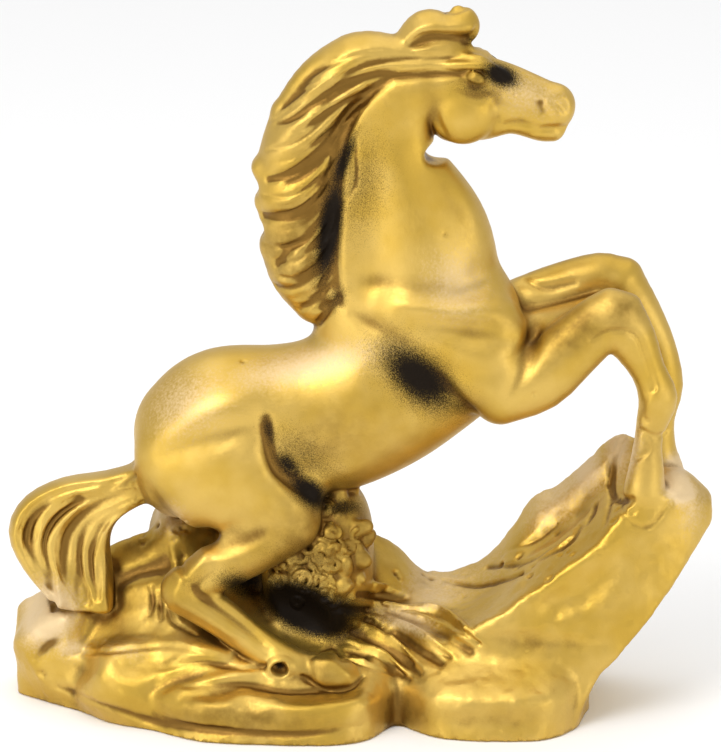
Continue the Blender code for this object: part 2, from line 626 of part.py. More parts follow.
# Creases (positive depth) and raised locks of the mane, in the side view: points (x, z, width, depth).
MANE_FOLDS = [
    [(5.0, 97.2, 0.5, 0.3), (2.1, 96.6, 0.7, 0.9), (-1.2, 95.5, 0.8, 1.2), (-5.1, 93.9, 0.7, 1.0),
     (-9.7, 90.3, 0.6, 0.8), (-12.3, 89.2, 0.5, 0.3)],
    [(4.0, 98.8, 0.6, 0.3), (0.8, 98.2, 0.8, 0.8), (-1.5, 97.0, 0.8, 0.8), (-3.4, 95.2, 0.5, 0.3)],
    [(2.1, 94.4, 0.4, 0.3), (-3.1, 92.1, 0.5, 0.7), (-5.5, 90.7, 0.5, 0.7), (-9.7, 87.7, 0.4, 0.3)],
    [(-2.2, 90.7, 0.4, 0.3), (-4.9, 88.0, 0.5, 0.6), (-7.0, 86.4, 0.4, 0.3)],
    [(0.7, 92.5, 0.6, 0.5), (-1.9, 91.0, 0.8, 1.1), (-3.5, 88.0, 0.8, 1.2), (-5.4, 85.9, 0.8, 1.2),
     (-7.8, 83.9, 0.7, 1.2), (-10.5, 82.0, 0.6, 1.1), (-13.6, 80.9, 0.5, 0.7)],
    [(-5.2, 83.5, 0.5, 0.3), (-8.2, 81.7, 0.5, 0.6), (-10.9, 80.3, 0.5, 0.3)],
    [(-4.2, 79.8, 0.5, 0.4), (-8.2, 76.9, 0.7, 0.8), (-11.8, 75.7, 0.7, 1.0), (-14.4, 75.2, 0.6, 0.8)],
    [(-4.6, 77.2, 0.5, 0.4), (-7.3, 74.8, 0.5, 0.6), (-9.6, 73.2, 0.5, 0.3)],
    [(-4.4, 75.9, 0.6, 0.5), (-7.9, 72.8, 0.7, 1.0), (-10.3, 71.1, 0.7, 1.0), (-12.4, 68.1, 0.6, 0.7)],
    [(-4.6, 73.3, 0.4, 0.3), (-7.5, 70.6, 0.5, 0.6), (-9.6, 68.6, 0.4, 0.3)],
    [(-4.4, 69.9, 0.6, 0.5), (-7.2, 66.4, 0.7, 0.9), (-10.0, 64.7, 0.6, 0.9), (-12.6, 64.3, 0.5, 0.6)],
    [(-6.4, 67.9, 0.4, 0.3), (-9.1, 66.3, 0.5, 0.6), (-11.7, 66.3, 0.4, 0.4)],
    [(-4.1, 65.5, 0.5, 0.5), (-7.0, 62.9, 0.6, 0.9), (-9.1, 61.0, 0.5, 0.6)],
    [(-3.1, 63.5, 0.5, 0.5), (-4.9, 61.1, 0.5, 0.9), (-6.2, 59.2, 0.5, 0.6)],
    [(-4.0, 98.8, 1.0, 0.2), (-7.4, 96.4, 1.3, 0.9), (-10.2, 93.2, 1.2, 0.9), (-12.2, 91.0, 0.8, 0.2)],
    [(1.4, 99.6, 1.6, -0.2), (-3.6, 97.4, 1.6, -0.5), (-7.0, 94.6, 1.5, -0.4)],
    [(-6.5, 91.5, 1.6, -0.3), (-9.5, 88.2, 1.7, -0.6), (-13.0, 85.4, 1.6, -0.4)],
    [(-7.0, 79.6, 1.5, -0.3), (-11.0, 78.2, 1.6, -0.5), (-14.0, 77.8, 1.5, -0.3)],
    [(-6.6, 70.6, 1.3, -0.2), (-9.0, 68.4, 1.4, -0.5), (-11.6, 66.0, 1.3, -0.3)],
]

# Tips and notches of the mane's outline: points (x, z, width, depth) in the middle plane.
MANE_OUTLINE = [
    (-15.4, 82.2, 1.3, -1.1),
    (-15.4, 79.0, 0.8, 0.9),
    (-15.0, 76.8, 1.1, -0.6),
    (-14.6, 72.8, 0.9, 1.0),
    (-14.2, 70.0, 1.4, -0.5),
    (-12.6, 91.0, 1.2, -0.4),
]

# The crease where the mane's front edge overhangs the neck, in the side view: (x, z, width, depth).
MANE_EDGE = [
    (4.0, 95.6, 0.7, 0.3),
    (-0.6, 92.0, 0.8, 0.8),
    (-2.6, 86.4, 0.9, 1.1),
    (-3.6, 79.6, 1.0, 1.4),
    (-4.0, 73.6, 1.0, 1.3),
    (-3.9, 67.6, 0.9, 0.9),
    (-3.0, 62.6, 0.8, 0.5),
]


def mane(clay):
    """The mass of hair behind the neck, and the flat locks that part it."""
    clay.limb(
        [
            (8.5, 0, 98.0, 2.4, 3.4),
            (5.0, 0, 98.0, 3.5, 3.8),
            (0.4, 0, 97.4, 4.9, 4.6),
            (-4.4, 0, 93.8, 5.5, 5.0),
            (-7.4, 0, 87.8, 6.2, 5.2),
            (-8.9, 0, 80.9, 6.5, 5.4),
            (-8.8, 0, 73.9, 6.1, 5.6),
            (-8.3, 0, 67.5, 5.7, 5.4),
            (-6.2, 0, 62.4, 4.2, 4.6),
        ],
        blend=0.6,
        steps=5,
    )
    for side in (NEAR_SIDE, FAR_SIDE):
        clay.press(MANE_EDGE, side)
        for fold in MANE_FOLDS:
            clay.press(fold, side)
    for x, z, width, depth in MANE_OUTLINE:
        clay.press_at([(x, -width, z, width, depth), (x, width, z, width, depth)])


def forelegs(clay):
    for side in (NEAR_SIDE, FAR_SIDE):
        clay.limb(
            both_sides([(7, 4.5, 62, 6, 4.5), (14, 5, 59, 6.5, 4.5), (19.8, 5, 57.2, 5.2, 4.3)], side),
            blend=2.5,
        )
    clay.limb([(19.5, -5, 57.5, 5.2, 4.4), (18, -6.2, 51, 6, 4.6)], blend=2)
    clay.limb(
        [
            (20.5, -6.4, 49.6, 5.3, 4.5),
            (26.3, -6.4, 51.6, 5.2, 4.2),
            (31.0, -6.2, 55.6, 4.7, 3.6),
            (35.0, -6, 59.2, 4.4, 3.2),
            (37.8, -6, 60.6, 4.6, 3.3),
        ],
        blend=1.2,
    )
    clay.limb(
        [
            (37.8, -6, 60.6, 4.5, 3.3),
            (40.4, -6, 57.0, 3.6, 2.8),
            (42.8, -5.8, 52.3, 2.6, 2.3),
            (44.3, -5.6, 48.2, 2.9, 2.6),
            (43.6, -5.4, 44.6, 2.4, 2.2),
            (43.0, -5.2, 41.2, 2.1, 2.0),
            (42.8, -5, 36.6, 2.7, 2.6),
            (42.6, -5, 33.5, 3.2, 3.0),
        ],
        blend=0.8,
    )
    clay.limb(
        [
            (20.5, 5, 56.5, 5.0, 4.0),
            (25.4, 5.4, 60.0, 4.2, 3.8),
            (30.6, 5.5, 62.4, 3.8, 3.4),
            (35.9, 5.5, 64.0, 3.6, 3.3),
            (39, 5.5, 63.1, 3.9, 3.3),
        ],
        blend=1.2,
    )
    clay.limb(
        [
            (39, 5.5, 63.1, 3.9, 3.3),
            (42.3, 5.5, 58.8, 3.0, 2.7),
            (45.2, 5.3, 53.4, 2.4, 2.2),
            (46.1, 5.2, 47.3, 2.8, 2.5),
            (45.5, 5, 42, 2.2, 2.1),
            (45.6, 5, 37.4, 2.4, 2.3),
            (46.1, 5, 34.3, 3.0, 2.8),
        ],
        blend=0.8,
    )
    clay.limb([(24, 0, 56.5, 3, 5), (31, 0, 58.6, 2.5, 5), (36, 0, 60.5, 2, 5)], blend=1.5)
    clay.stroke([
        (34, 58, 0.2),
        (36.8, 59.4, 0.35),
        (40.4, 58.8, 0.35),
        (42, 55.6, 0.35),
        (43.6, 50, 0.3),
    ], NEAR_SIDE)


def forehoof(clay):
    """The near forehoof, set on the ramp's edge with its toe over the front face."""
    clay.blob((43.2, -6.4, 35.4), (4.0, 2.9, 2.7), pitch=18, blend=0.9)
    clay.blob((42.4, -7.2, 31.2), (3.6, 1.9, 2.0), pitch=26, blend=0.7)
    clay.press([(38.9, 33.0, 0.6, 0.4), (41.6, 33.2, 0.6, 1.0), (45.4, 34.8, 0.6, 0.6)], NEAR_SIDE)
    clay.press([(39.4, 36.4, 0.6, 0.3), (42.4, 38.8, 0.6, 0.6), (46.0, 38.6, 0.6, 0.3)], NEAR_SIDE)


def hindlegs(clay):
    for side in (NEAR_SIDE, FAR_SIDE):
        clay.limb(
            both_sides([
                (-23, 4.2, 43, 10, 6),
                (-19, 5.4, 37.2, 10.8, 6.3),
                (-11.5, 6.4, 32, 7.2, 5.4),
            ], side),
            blend=2.5,
        )
        clay.blob((-27, side * 4.2, 35.5), (6, 5, 7.5), pitch=30, blend=2.5)
    clay.limb(
        [
            (-10.7, -7.0, 30, 5.4, 4.6),
            (-17.5, -7.8, 25.4, 4.7, 3.9),
            (-23.0, -8.6, 21.6, 3.6, 3.2),
            (-26.6, -8.8, 19, 3.5, 3.0),
        ],
        blend=1.2,
    )
    clay.limb(
        [
            (-26.6, -8.8, 19, 3.4, 3.0),
            (-21.2, -9.6, 15.4, 3.0, 2.6),
            (-16.7, -10.4, 12.1, 2.7, 2.4),
            (-12.2, -11.2, 9.0, 3.0, 2.8),
            (-8.4, -11.8, 7.8, 2.5, 2.5),
            (-5.2, -12.2, 7.4, 2.7, 2.9),
        ],
        blend=0.8,
    )
    clay.blob((-4.4, -12.2, 6.8), (4.6, 3.2, 3.2), pitch=-16, blend=0.8)
    clay.press([(-8.0, 9.8, 0.7, 0.2), (-7.6, 7.6, 0.8, 0.45), (-8.2, 5.4, 0.7, 0.3)], NEAR_SIDE)
    clay.press([(-6.6, 9.6, 0.6, -0.3), (-4.2, 9.4, 0.7, -0.5), (-1.8, 7.6, 0.6, -0.3)], NEAR_SIDE)
    clay.limb(
        [
            (-11, 7, 30, 5.4, 4.6),
            (-19.5, 7.4, 28.6, 4.7, 3.9),
            (-24.4, 7.6, 27.6, 3.6, 3.3),
            (-26.6, 7.6, 24.4, 3.3, 3.1),
            (-26.5, 8.4, 17.5, 2.9, 2.6),
            (-19, 9.4, 12, 2.8, 2.6),
            (-14, 10, 9, 3.0, 2.9),
            (-9, 10.6, 7.4, 2.8, 2.9),
        ],
        blend=1.2,
    )
    clay.press(
        [
            (-22.5, 26.2, 0.8, -0.3),
            (-24.1, 23.6, 0.9, -0.6),
            (-26.4, 21.2, 0.9, -0.6),
            (-27.2, 18.6, 0.9, -0.5),
            (-24.1, 16.6, 0.8, -0.5),
            (-18.9, 13.2, 0.7, -0.3),
        ],
        NEAR_SIDE,
    )
    clay.press(
        [
            (-21.5, 23.4, 0.8, 0.3),
            (-24.4, 20.4, 0.8, 0.6),
            (-22.5, 18.0, 0.7, 0.6),
            (-17.3, 14.4, 0.7, 0.6),
            (-13.6, 11.4, 0.6, 0.3),
        ],
        NEAR_SIDE,
    )
    ergot = clay.skin(-12, 8.4, NEAR_SIDE) or -13.5
    clay.blob((-12, ergot + 0.3, 8.4), (2.3, 1.2, 2.0), blend=0.5)
    clay.blob((-12, ergot - 0.9, 8.4), (1.35, 1.8, 1.15), blend=0.3, carve=True)


TAIL_TOP = [
    (-32.6, 36.2),
    (-38.5, 34.6),
    (-45.4, 33.4),
    (-50.6, 30.6),
    (-52.8, 26.4),
    (-51, 21.2),
    (-46.6, 15.4),
]
TAIL_FOOT = [
    (-32.4, 31.4),
    (-36.3, 28.6),
    (-38.0, 25.6),
    (-38.4, 22.4),
    (-38.0, 19.6),
    (-37.8, 17.0),
    (-37.6, 14.4),
]
TAIL_LOCKS = 6

# Grooves between the tail's locks, in the side view: points (x, z, width, depth).
TAIL_FOLDS = [
    [(-33.8, 35.8, 0.5, 0.6), (-36.5, 34.4, 0.6, 1.0), (-39.2, 32.3, 0.7, 1.1), (-42.3, 31.3, 0.8, 0.9)],
    [(-42.3, 31.5, 0.7, 0.8), (-45.8, 28.4, 0.9, 1.6), (-46.9, 24.3, 0.9, 1.8), (-46.9, 18.3, 0.8, 1.2)],
    [(-37.7, 31.6, 0.5, 0.6), (-41.2, 29.2, 0.7, 1.4), (-43.7, 25.9, 0.9, 1.8), (-44.6, 21.9, 0.9, 1.8),
     (-43.8, 15.0, 0.7, 1.0)],
    [(-36.9, 29.6, 0.5, 0.6), (-40.4, 26.8, 0.7, 1.5), (-42.0, 23.1, 0.8, 1.8), (-42.8, 19.1, 0.8, 1.6),
     (-42.4, 15.0, 0.6, 0.8)],
    [(-38.9, 27.1, 0.5, 0.5), (-40.4, 23.9, 0.7, 1.2), (-41.2, 19.8, 0.7, 1.3), (-41.4, 15.8, 0.6, 0.8)],
    [(-38.4, 25.9, 0.4, 0.4), (-39.2, 22.3, 0.6, 1.0), (-39.8, 16.6, 0.5, 0.8)],
    [(-47.5, 30.9, 0.8, 0.3), (-49.8, 28.9, 1.0, 0.8), (-50.2, 25.6, 1.0, 0.6)],
]


def tail(clay):
    """A fan of locks between two contours."""
    top, foot = np.array(TAIL_TOP), np.array(TAIL_FOOT)
    gap = np.linalg.norm(top - foot, axis=1) / TAIL_LOCKS
    depth = np.linspace(2.6, 4.2, len(gap))
    for i in range(TAIL_LOCKS):
        share = (i + 0.5) / TAIL_LOCKS
        line = top * (1 - share) + foot * share
        sway = 0.6 * np.sin(2.4 * i)
        clay.limb([(x, sway, z, g * 0.62, d) for (x, z), g, d in zip(line, gap, depth)], blend=2.0)
    for side in (NEAR_SIDE, FAR_SIDE):
        for fold in TAIL_FOLDS:
            clay.press(fold, side)


# Blades of grass in the plane that is seen: root, middle and tip (x, level), and half the width.
GRASS = [
    ((-1.7, 17.4), (2.9, 16.6), (6.1, 15.9), 0.9),
    ((-3.2, 14.7), (1.4, 14.2), (5.8, 12.8), 0.9),
    ((-3.2, 13.1), (0.2, 12.3), (3.6, 10.9), 0.8),
    ((3.6, 14.0), (12.0, 12.8), (19.5, 7.9), 1.25),
    ((2.1, 12.3), (9.0, 9.3), (15.1, 5.8), 1.25),
    ((-0.9, 11.2), (4.7, 8.4), (9.7, 4.6), 1.2),
    ((-1.7, 8.4), (3.6, 6.0), (8.2, 2.8), 1.1),
    ((-2.4, 6.0), (2.1, 4.9), (6.7, 3.0), 0.9),
]

# Gaps between the blades in the same plane: points (x, level, width, depth).
GRASS_GAPS = [
    [(2.5, 15.6, 0.6, 0.3), (8.0, 14.6, 0.8, 1.0), (14.5, 12.4, 0.6, 0.4)],
    [(4.0, 13.0, 0.4, 0.3), (10.0, 11.0, 0.7, 1.3), (16.4, 7.4, 0.6, 0.9)],
    [(1.0, 11.6, 0.4, 0.4), (6.6, 8.9, 0.7, 1.2), (12.0, 5.4, 0.6, 0.7)],
    [(-1.2, 9.9, 0.4, 0.4), (4.2, 7.2, 0.6, 1.1), (8.8, 3.8, 0.5, 0.6)],
    [(-2.0, 7.2, 0.4, 0.4), (3.0, 5.5, 0.6, 0.9), (7.4, 2.9, 0.5, 0.4)],
    [(-2.0, 16.0, 0.5, 0.4), (2.6, 15.4, 0.6, 1.0), (6.2, 14.4, 0.4, 0.3)],
    [(-3.0, 13.9, 0.4, 0.4), (1.2, 13.2, 0.5, 0.9), (4.6, 11.9, 0.4, 0.3)],
]


def grass(clay):
    """Pointed blades that fan over the rock in front of the thicket."""
    for root, middle, tip, width in GRASS:
        rows = []
        for x, level, half in smooth_path([(*root, 0.5 * width), (*middle, width), (*tip, 0.15)], 6):
            x, y, z = clay.seen(x, level)
            rows.append((x, y + 0.3 * half, z, half, 0.8 * half))
        clay.limb(rows, 0.3, 1)
    for gap in GRASS_GAPS:
        rows = [(*clay.seen(x, level), width, depth) for x, level, width, depth in smooth_path(gap, 4)]
        clay.press_at(rows)


CURLS = 40


def thicket(clay):
    """The curly undergrowth that holds up the belly, hollowed out behind the near hind leg."""
    clay.blob((-6.5, 0, 20), (8.5, 9, 13), blend=2)
    clay.blob((-3.2, 1, 26), (4.9, 7.5, 7.6), blend=2)
    clay.blob((1.6, 7, 13.6), (6.4, 6.6, 7.4), blend=3)
    spread = np.random.default_rng(7)
    for _ in range(CURLS):
        x, z = spread.uniform(-13, 2.6), spread.uniform(17, 34)
        y = clay.skin(x, z, NEAR_SIDE)
        if y is not None and y < 0:
            size = spread.uniform(0.9, 1.5)
            clay.blob((x, y + 0.4, z), (size, size * 0.8, size), blend=0.5)
    clay.blob((-10.0, -10.5, 14.6), (7.5, 6, 4.6), pitch=-32, blend=1, carve=True)


def sculpt(voxel):
    low, high = (-57, -24, UNDERSIDE_Z - 3), (57, 24, 110)
    clay = Clay(low, high, voxel)
    body(clay)
    head(clay)
    forelegs(clay)
    forehoof(clay)
    hindlegs(clay)
    for side in (NEAR_SIDE, FAR_SIDE):
        muscles(clay, side)
    mane(clay)
    forelock(clay)
    tail(clay)
    rock = Clay(low, high, voxel)
    plinth(rock)
    ramp(rock)
    thicket(rock)
    grass(rock)
    whole = tuple(slice(0, n) for n in clay.field.shape)
    clay.join(whole, rock.field, 0.6)
    return clay


def gold_paint():
    """Satin gold paint on cast resin."""
    material = bpy.data.materials.new("gold_paint")
    material.use_nodes = True
    shader = material.node_tree.nodes["Principled BSDF"]
    shader.inputs["Base Color"].default_value = (0.60, 0.42, 0.13, 1)
    shader.inputs["Roughness"].default_value = 0.4
    shader.inputs["Metallic"].default_value = 0.6
    return material


def cast(name, clay, triangles):
    """The clay as a mesh in metres: thinned, cut flat underneath and centred over the origin."""
    points, quads = clay.mesh()
    rough = bpy.data.meshes.new(name)
    rough.from_pydata(points.tolist(), [], quads.tolist())
    figure = bpy.data.objects.new(name, rough)
    bpy.context.scene.collection.objects.link(figure)
    thin = figure.modifiers.new("Decimate", "DECIMATE")
    thin.ratio = min(1.0, triangles / (2 * len(quads)))
    graph = bpy.context.evaluated_depsgraph_get()
    mesh = bpy.data.meshes.new_from_object(figure.evaluated_get(graph))
    bpy.data.objects.remove(figure)
    shape = bmesh.new()
    shape.from_mesh(mesh)
    everything = shape.verts[:] + shape.edges[:] + shape.faces[:]
    cut_at = (0, 0, UNDERSIDE_Z)
    bmesh.ops.bisect_plane(shape, geom=everything, plane_co=cut_at, plane_no=(0, 0, 1), clear_inner=True)
    bmesh.ops.holes_fill(shape, edges=[edge for edge in shape.edges if edge.is_boundary])
    low = np.min([vertex.co for vertex in shape.verts], axis=0)
    high = np.max([vertex.co for vertex in shape.verts], axis=0)
    middle = (low + high) / 2
    bmesh.ops.translate(shape, verts=shape.verts, vec=(-middle[0], -middle[1], -UNDERSIDE_Z))
    bmesh.ops.scale(shape, verts=shape.verts, vec=(SCALE, SCALE, SCALE))
    bmesh.ops.recalc_face_normals(shape, faces=shape.faces)
    shape.to_mesh(mesh)
    shape.free()
    mesh.shade_smooth()
    return mesh


def main():
    for thing in list(bpy.data.objects):
        bpy.data.objects.remove(thing)
    parts = bpy.data.collections.new("horse_statuette_parts")
    bpy.context.scene.collection.children.link(parts)
    mesh = cast("horse_statuette", sculpt(VOXEL), TRIANGLES)
    mesh.materials.clear()
    mesh.materials.append(gold_paint())
    statuette = bpy.data.objects.new("horse_statuette", mesh)
    parts.objects.link(statuette)


if __name__ == "__main__":
    main()
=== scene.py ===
"""The looks of the horse statuette: gold-painted cast resin with airbrushed black shading.

The casting is modelled again as clay on a fine grid, with the strands, curls, blades, cracks and
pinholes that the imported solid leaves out. The horse faces +X, +Y is away from the viewer and +Z is up.
"""

import bmesh
import bpy
import numpy as np
import openvdb
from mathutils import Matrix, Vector


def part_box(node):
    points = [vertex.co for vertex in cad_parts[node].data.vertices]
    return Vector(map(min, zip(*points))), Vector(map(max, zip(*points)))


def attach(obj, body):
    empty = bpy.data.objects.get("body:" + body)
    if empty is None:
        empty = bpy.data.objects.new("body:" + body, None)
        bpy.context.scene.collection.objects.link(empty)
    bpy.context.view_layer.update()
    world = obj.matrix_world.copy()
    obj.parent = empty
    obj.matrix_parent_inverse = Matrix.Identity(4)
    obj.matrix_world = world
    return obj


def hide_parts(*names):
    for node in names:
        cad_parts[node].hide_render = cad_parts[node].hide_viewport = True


NODE = "horse_statuette"

# Sizes of the casting, in metres.
FIGURE_HEIGHT = 0.107
PLINTH_LENGTH = 0.0875
PLINTH_DEPTH = 0.040
PLINTH_THICKNESS = 0.007

# The clay is drawn in millimetres for a figure of this height and a plinth of this length and depth, with
# the plinth's rim at RIM_Z.
DRAWN_HEIGHT = 107.0
DRAWN_LENGTH = 87.5
DRAWN_DEPTH = 40.0
RIM_Z = 6.0
SCALE = FIGURE_HEIGHT / DRAWN_HEIGHT
STRETCH_X = PLINTH_LENGTH / SCALE / DRAWN_LENGTH
STRETCH_Y = PLINTH_DEPTH / SCALE / DRAWN_DEPTH
UNDERSIDE_Z = RIM_Z - PLINTH_THICKNESS / SCALE

# The grid's spacing and its reach, and the distance that stands for far outside the clay.
VOXEL = 0.25
HALF_LENGTH = 57
HALF_DEPTH = 24
GRID_TOP = 110
GRID_MARGIN = 3
FAR = 50.0

TRIANGLES = 190000
NEAR_SIDE, FAR_SIDE = -1, 1

# The underside of the rock's sections, where none is given.
ROCK_FOOT = -9.0

# A press reaches out to this many of its widths. A zone of paint fades by this much at its radius, as a
# power of e.
PRESS_REACH = 2.2
ZONE_FADE = 1.2

# The camera: its distance and height angle, the point it looks at, and the width of the frame there, from
# the size of a pixel there and how many the longer side has.
CAMERA_DISTANCE = 0.62
CAMERA_ELEVATION = 15.0
CAMERA_TARGET = (0.0001, 0.0001, 0.0510)
PIXEL_SIZE = 0.15e-3
FRAME_PIXELS = 752
FRAME_WIDTH = PIXEL_SIZE * FRAME_PIXELS

# The slope of the line of sight onto the casting. A level is a height in the plane that is seen so, with
# z = level - VIEW_SLOPE * y.
VIEW_SLOPE = np.tan(np.radians(CAMERA_ELEVATION))


class Clay:
    """A signed distance field on a grid, in drawn millimetres: negative inside the clay."""

    def __init__(self, low, high, voxel):
        self.low = np.array(low, float)
        self.voxel = voxel
        count = np.ceil((np.array(high, float) - self.low) / voxel).astype(int) + 1
        self.field = np.full(count, FAR, np.float32)
        self.axes = [(self.low[i] + voxel * np.arange(count[i])).astype(np.float32) for i in range(3)]

    def window(self, low, high):
        """The slices of the grid that hold a box, and the coordinates there as open arrays."""
        first = np.floor((np.array(low) - self.low) / self.voxel).astype(int)
        last = np.ceil((np.array(high) - self.low) / self.voxel).astype(int) + 1
        first = np.clip(first, 0, self.field.shape)
        last = np.clip(last, 0, self.field.shape)
        slices = tuple(slice(a, b) for a, b in zip(first, last))
        x, y, z = (self.axes[i][slices[i]] for i in range(3))
        return slices, x[:, None, None], y[None, :, None], z[None, None, :]

    def join(self, slices, distance, blend):
        """Smooth union of a shape with the clay."""
        old = self.field[slices]
        near = np.maximum(blend - np.abs(old - distance), 0) / blend
        self.field[slices] = np.minimum(old, distance) - near * near * blend * 0.25

    def cut(self, slices, distance, blend):
        """Smooth subtraction of a shape from the clay."""
        old = self.field[slices]
        near = np.maximum(blend - np.abs(old + distance), 0) / blend
        self.field[slices] = np.maximum(old, -distance) + near * near * blend * 0.25

    def blob(self, centre, radii, pitch=0.0, blend=1.5, carve=False):
        """An ellipsoid, which pitch turns about Y, nose up, in degrees."""
        reach = max(radii) + blend + self.voxel
        centre = np.array(centre, float)
        slices, x, y, z = self.window(centre - reach, centre + reach)
        x, y, z = x - centre[0], y - centre[1], z - centre[2]
        lift = np.radians(pitch)
        x, z = x * np.cos(lift) + z * np.sin(lift), -x * np.sin(lift) + z * np.cos(lift)
        distance = ellipsoid_distance((x, y, z), radii)
        (self.cut if carve else self.join)(slices, distance, blend)

    def limb(self, sections, blend=1.5, steps=3, carve=False):
        """A loft through sections (x, y, z, half thickness in the side view, half thickness in depth)."""
        path = smooth_path(sections, steps)
        widest = path[:, 3:].max() + blend + self.voxel
        slices, x, y, z = self.window(path[:, :3].min(0) - widest, path[:, :3].max(0) + widest)
        shape = tuple(s.stop - s.start for s in slices)
        distance = np.full(shape, FAR, np.float32)
        for start, end in zip(path[:-1], path[1:]):
            reach = max(start[3:].max(), end[3:].max()) + blend + self.voxel
            low = np.minimum(start[:3], end[:3]) - reach
            high = np.maximum(start[:3], end[:3]) + reach
            inner, x, y, z = self.window(low, high)
            local = tuple(slice(i.start - s.start, i.stop - s.start) for i, s in zip(inner, slices))
            distance[local] = np.minimum(distance[local], span_distance(x, y, z, start, end))
        (self.cut if carve else self.join)(slices, distance, blend)

    def sample(self, points):
        """The field at points, from the eight grid values around each."""
        at = (np.atleast_2d(points) - self.low) / self.voxel
        at = np.clip(at, 0, np.array(self.field.shape) - 1.001)
        base = at.astype(int)
        part = at - base
        total = np.zeros(len(at))
        for corner in np.ndindex(2, 2, 2):
            weight = np.prod(np.where(corner, part, 1 - part), axis=1)
            i, j, k = (base + corner).T
            total += weight * self.field[i, j, k]
        return total

    def skin(self, x, z, side):
        """The depth y at which a line from one side, at this x and z, meets the clay, or None."""
        reach = HALF_DEPTH + 2.0
        depths = side * np.arange(reach, -reach, -self.voxel * 0.5)
        line = np.column_stack([np.full_like(depths, x), depths, np.full_like(depths, z)])
        values = self.sample(line)
        inside = np.flatnonzero(values < 0)
        if not len(inside) or inside[0] == 0:
            return None
        i = inside[0]
        share = values[i - 1] / (values[i - 1] - values[i])
        return depths[i - 1] + share * (depths[i] - depths[i - 1])

    def seen(self, x, level):
        """The point of the clay that is seen from the front at this x and level."""
        depths = np.arange(-HALF_DEPTH, HALF_DEPTH, self.voxel * 0.5)
        heights = level - VIEW_SLOPE * depths
        values = self.sample(np.column_stack([np.full_like(depths, x), depths, heights]))
        inside = np.flatnonzero(values < 0)
        first = inside[0] if len(inside) else len(depths) // 2
        return x, depths[first], heights[first]

    def on_skin(self, path, side, sink):
        """Sections at points (x, z, radius) of the side view, laid on the surface and sunk by a share of
        their radius."""
        laid = []
        for x, z, radius in path:
            y = self.skin(x, z, side)
            if y is None:
                y = laid[-1][1] if laid else 0.0
            laid.append((x, y - side * sink * radius, z, radius, radius))
        return laid

    def stroke(self, path, side, sink=0.0, blend=0.6):
        """A groove along points (x, z, radius) drawn on one side of the figure."""
        dense = smooth_path(path, 3)
        self.limb(self.on_skin(dense, side, sink), blend, 1, carve=True)

    def press(self, path, side, steps=4):
        """Presses the skin in along points (x, z, width, depth) drawn on one side of the figure, with soft
        edges, or out where the depth is negative."""
        laid = []
        for x, z, width, depth in smooth_path(path, steps):
            y = self.skin(x, z, side)
            if y is None:
                y = laid[-1][1] if laid else 0.0
            laid.append((x, y, z, width, depth))
        self.press_at(laid)

    def press_at(self, path):
        """Presses the skin in along points (x, y, z, width, depth), with soft edges."""
        rows = np.array(path, float)
        reach = PRESS_REACH * rows[:, 3].max() + self.voxel
        slices, x, y, z = self.window(rows[:, :3].min(0) - reach, rows[:, :3].max(0) + reach)
        amount = np.zeros(tuple(s.stop - s.start for s in slices), np.float32)
        for start, end in zip(rows[:-1], rows[1:]):
            reach = PRESS_REACH * max(start[3], end[3]) + self.voxel
            low, high = np.minimum(start[:3], end[:3]) - reach, np.maximum(start[:3], end[:3]) + reach
            inner, x, y, z = self.window(low, high)
            local = tuple(slice(i.start - s.start, i.stop - s.start) for i, s in zip(inner, slices))
            axis = end[:3] - start[:3]
            x, y, z = x - start[0], y - start[1], z - start[2]
            share = np.clip((x * axis[0] + y * axis[1] + z * axis[2]) / max(axis @ axis, 1e-9), 0, 1)
            far = (x - share * axis[0]) ** 2 + (y - share * axis[1]) ** 2 + (z - share * axis[2]) ** 2
            width = start[3] + share * (end[3] - start[3])
            here = (start[4] + share * (end[4] - start[4])) * np.exp(-far / (width * width))
            old = amount[local]
            amount[local] = np.where(np.abs(here) > np.abs(old), here, old)
        self.field[slices] += amount

    def soften(self, width):
        """Blurs the field over about this many millimetres, which rounds creases."""
        passes = int(round(2 * (width / self.voxel) ** 2))
        for _ in range(passes):
            for axis in range(3):
                inner = np.moveaxis(self.field, axis, 0)
                inner[1:-1] = 0.25 * inner[:-2] + 0.5 * inner[1:-1] + 0.25 * inner[2:]

    def mesh(self):
        """The clay's surface as points in drawn millimetres and quads."""
        grid = openvdb.FloatGrid(FAR)
        grid.copyFromArray(self.field)
        points, quads = grid.convertToQuads(0.0)
        return points * self.voxel + self.low, quads[:, ::-1]


def ellipsoid_distance(offset, radii):
    """About the distance to an ellipsoid, exact on its surface."""
    first = sum((o / r) ** 2 for o, r in zip(offset, radii))
    second = sum((o / (r * r)) ** 2 for o, r in zip(offset, radii))
    first = np.sqrt(first)
    return first * (first - 1.0) / np.sqrt(np.maximum(second, 1e-9))


def span_distance(x, y, z, start, end):
    """About the distance to one span of a limb, from one section to the next."""
    axis = end[:3] - start[:3]
    length = max(np.linalg.norm(axis), 1e-6)
    axis = axis / length
    side = np.array([0.0, 1.0, 0.0]) - axis * axis[1]
    side /= np.linalg.norm(side)
    normal = np.cross(axis, side)
    x, y, z = x - start[0], y - start[1], z - start[2]
    along = x * axis[0] + y * axis[1] + z * axis[2]
    share = np.clip(along / length, 0, 1)
    beyond = along - share * length
    thick = start[3] + share * (end[3] - start[3])
    deep = start[4] + share * (end[4] - start[4])
    up = x * normal[0] + y * normal[1] + z * normal[2]
    out = x * side[0] + y * side[1] + z * side[2]
    return ellipsoid_distance((up, out, beyond), (thick, deep, np.minimum(thick, deep)))


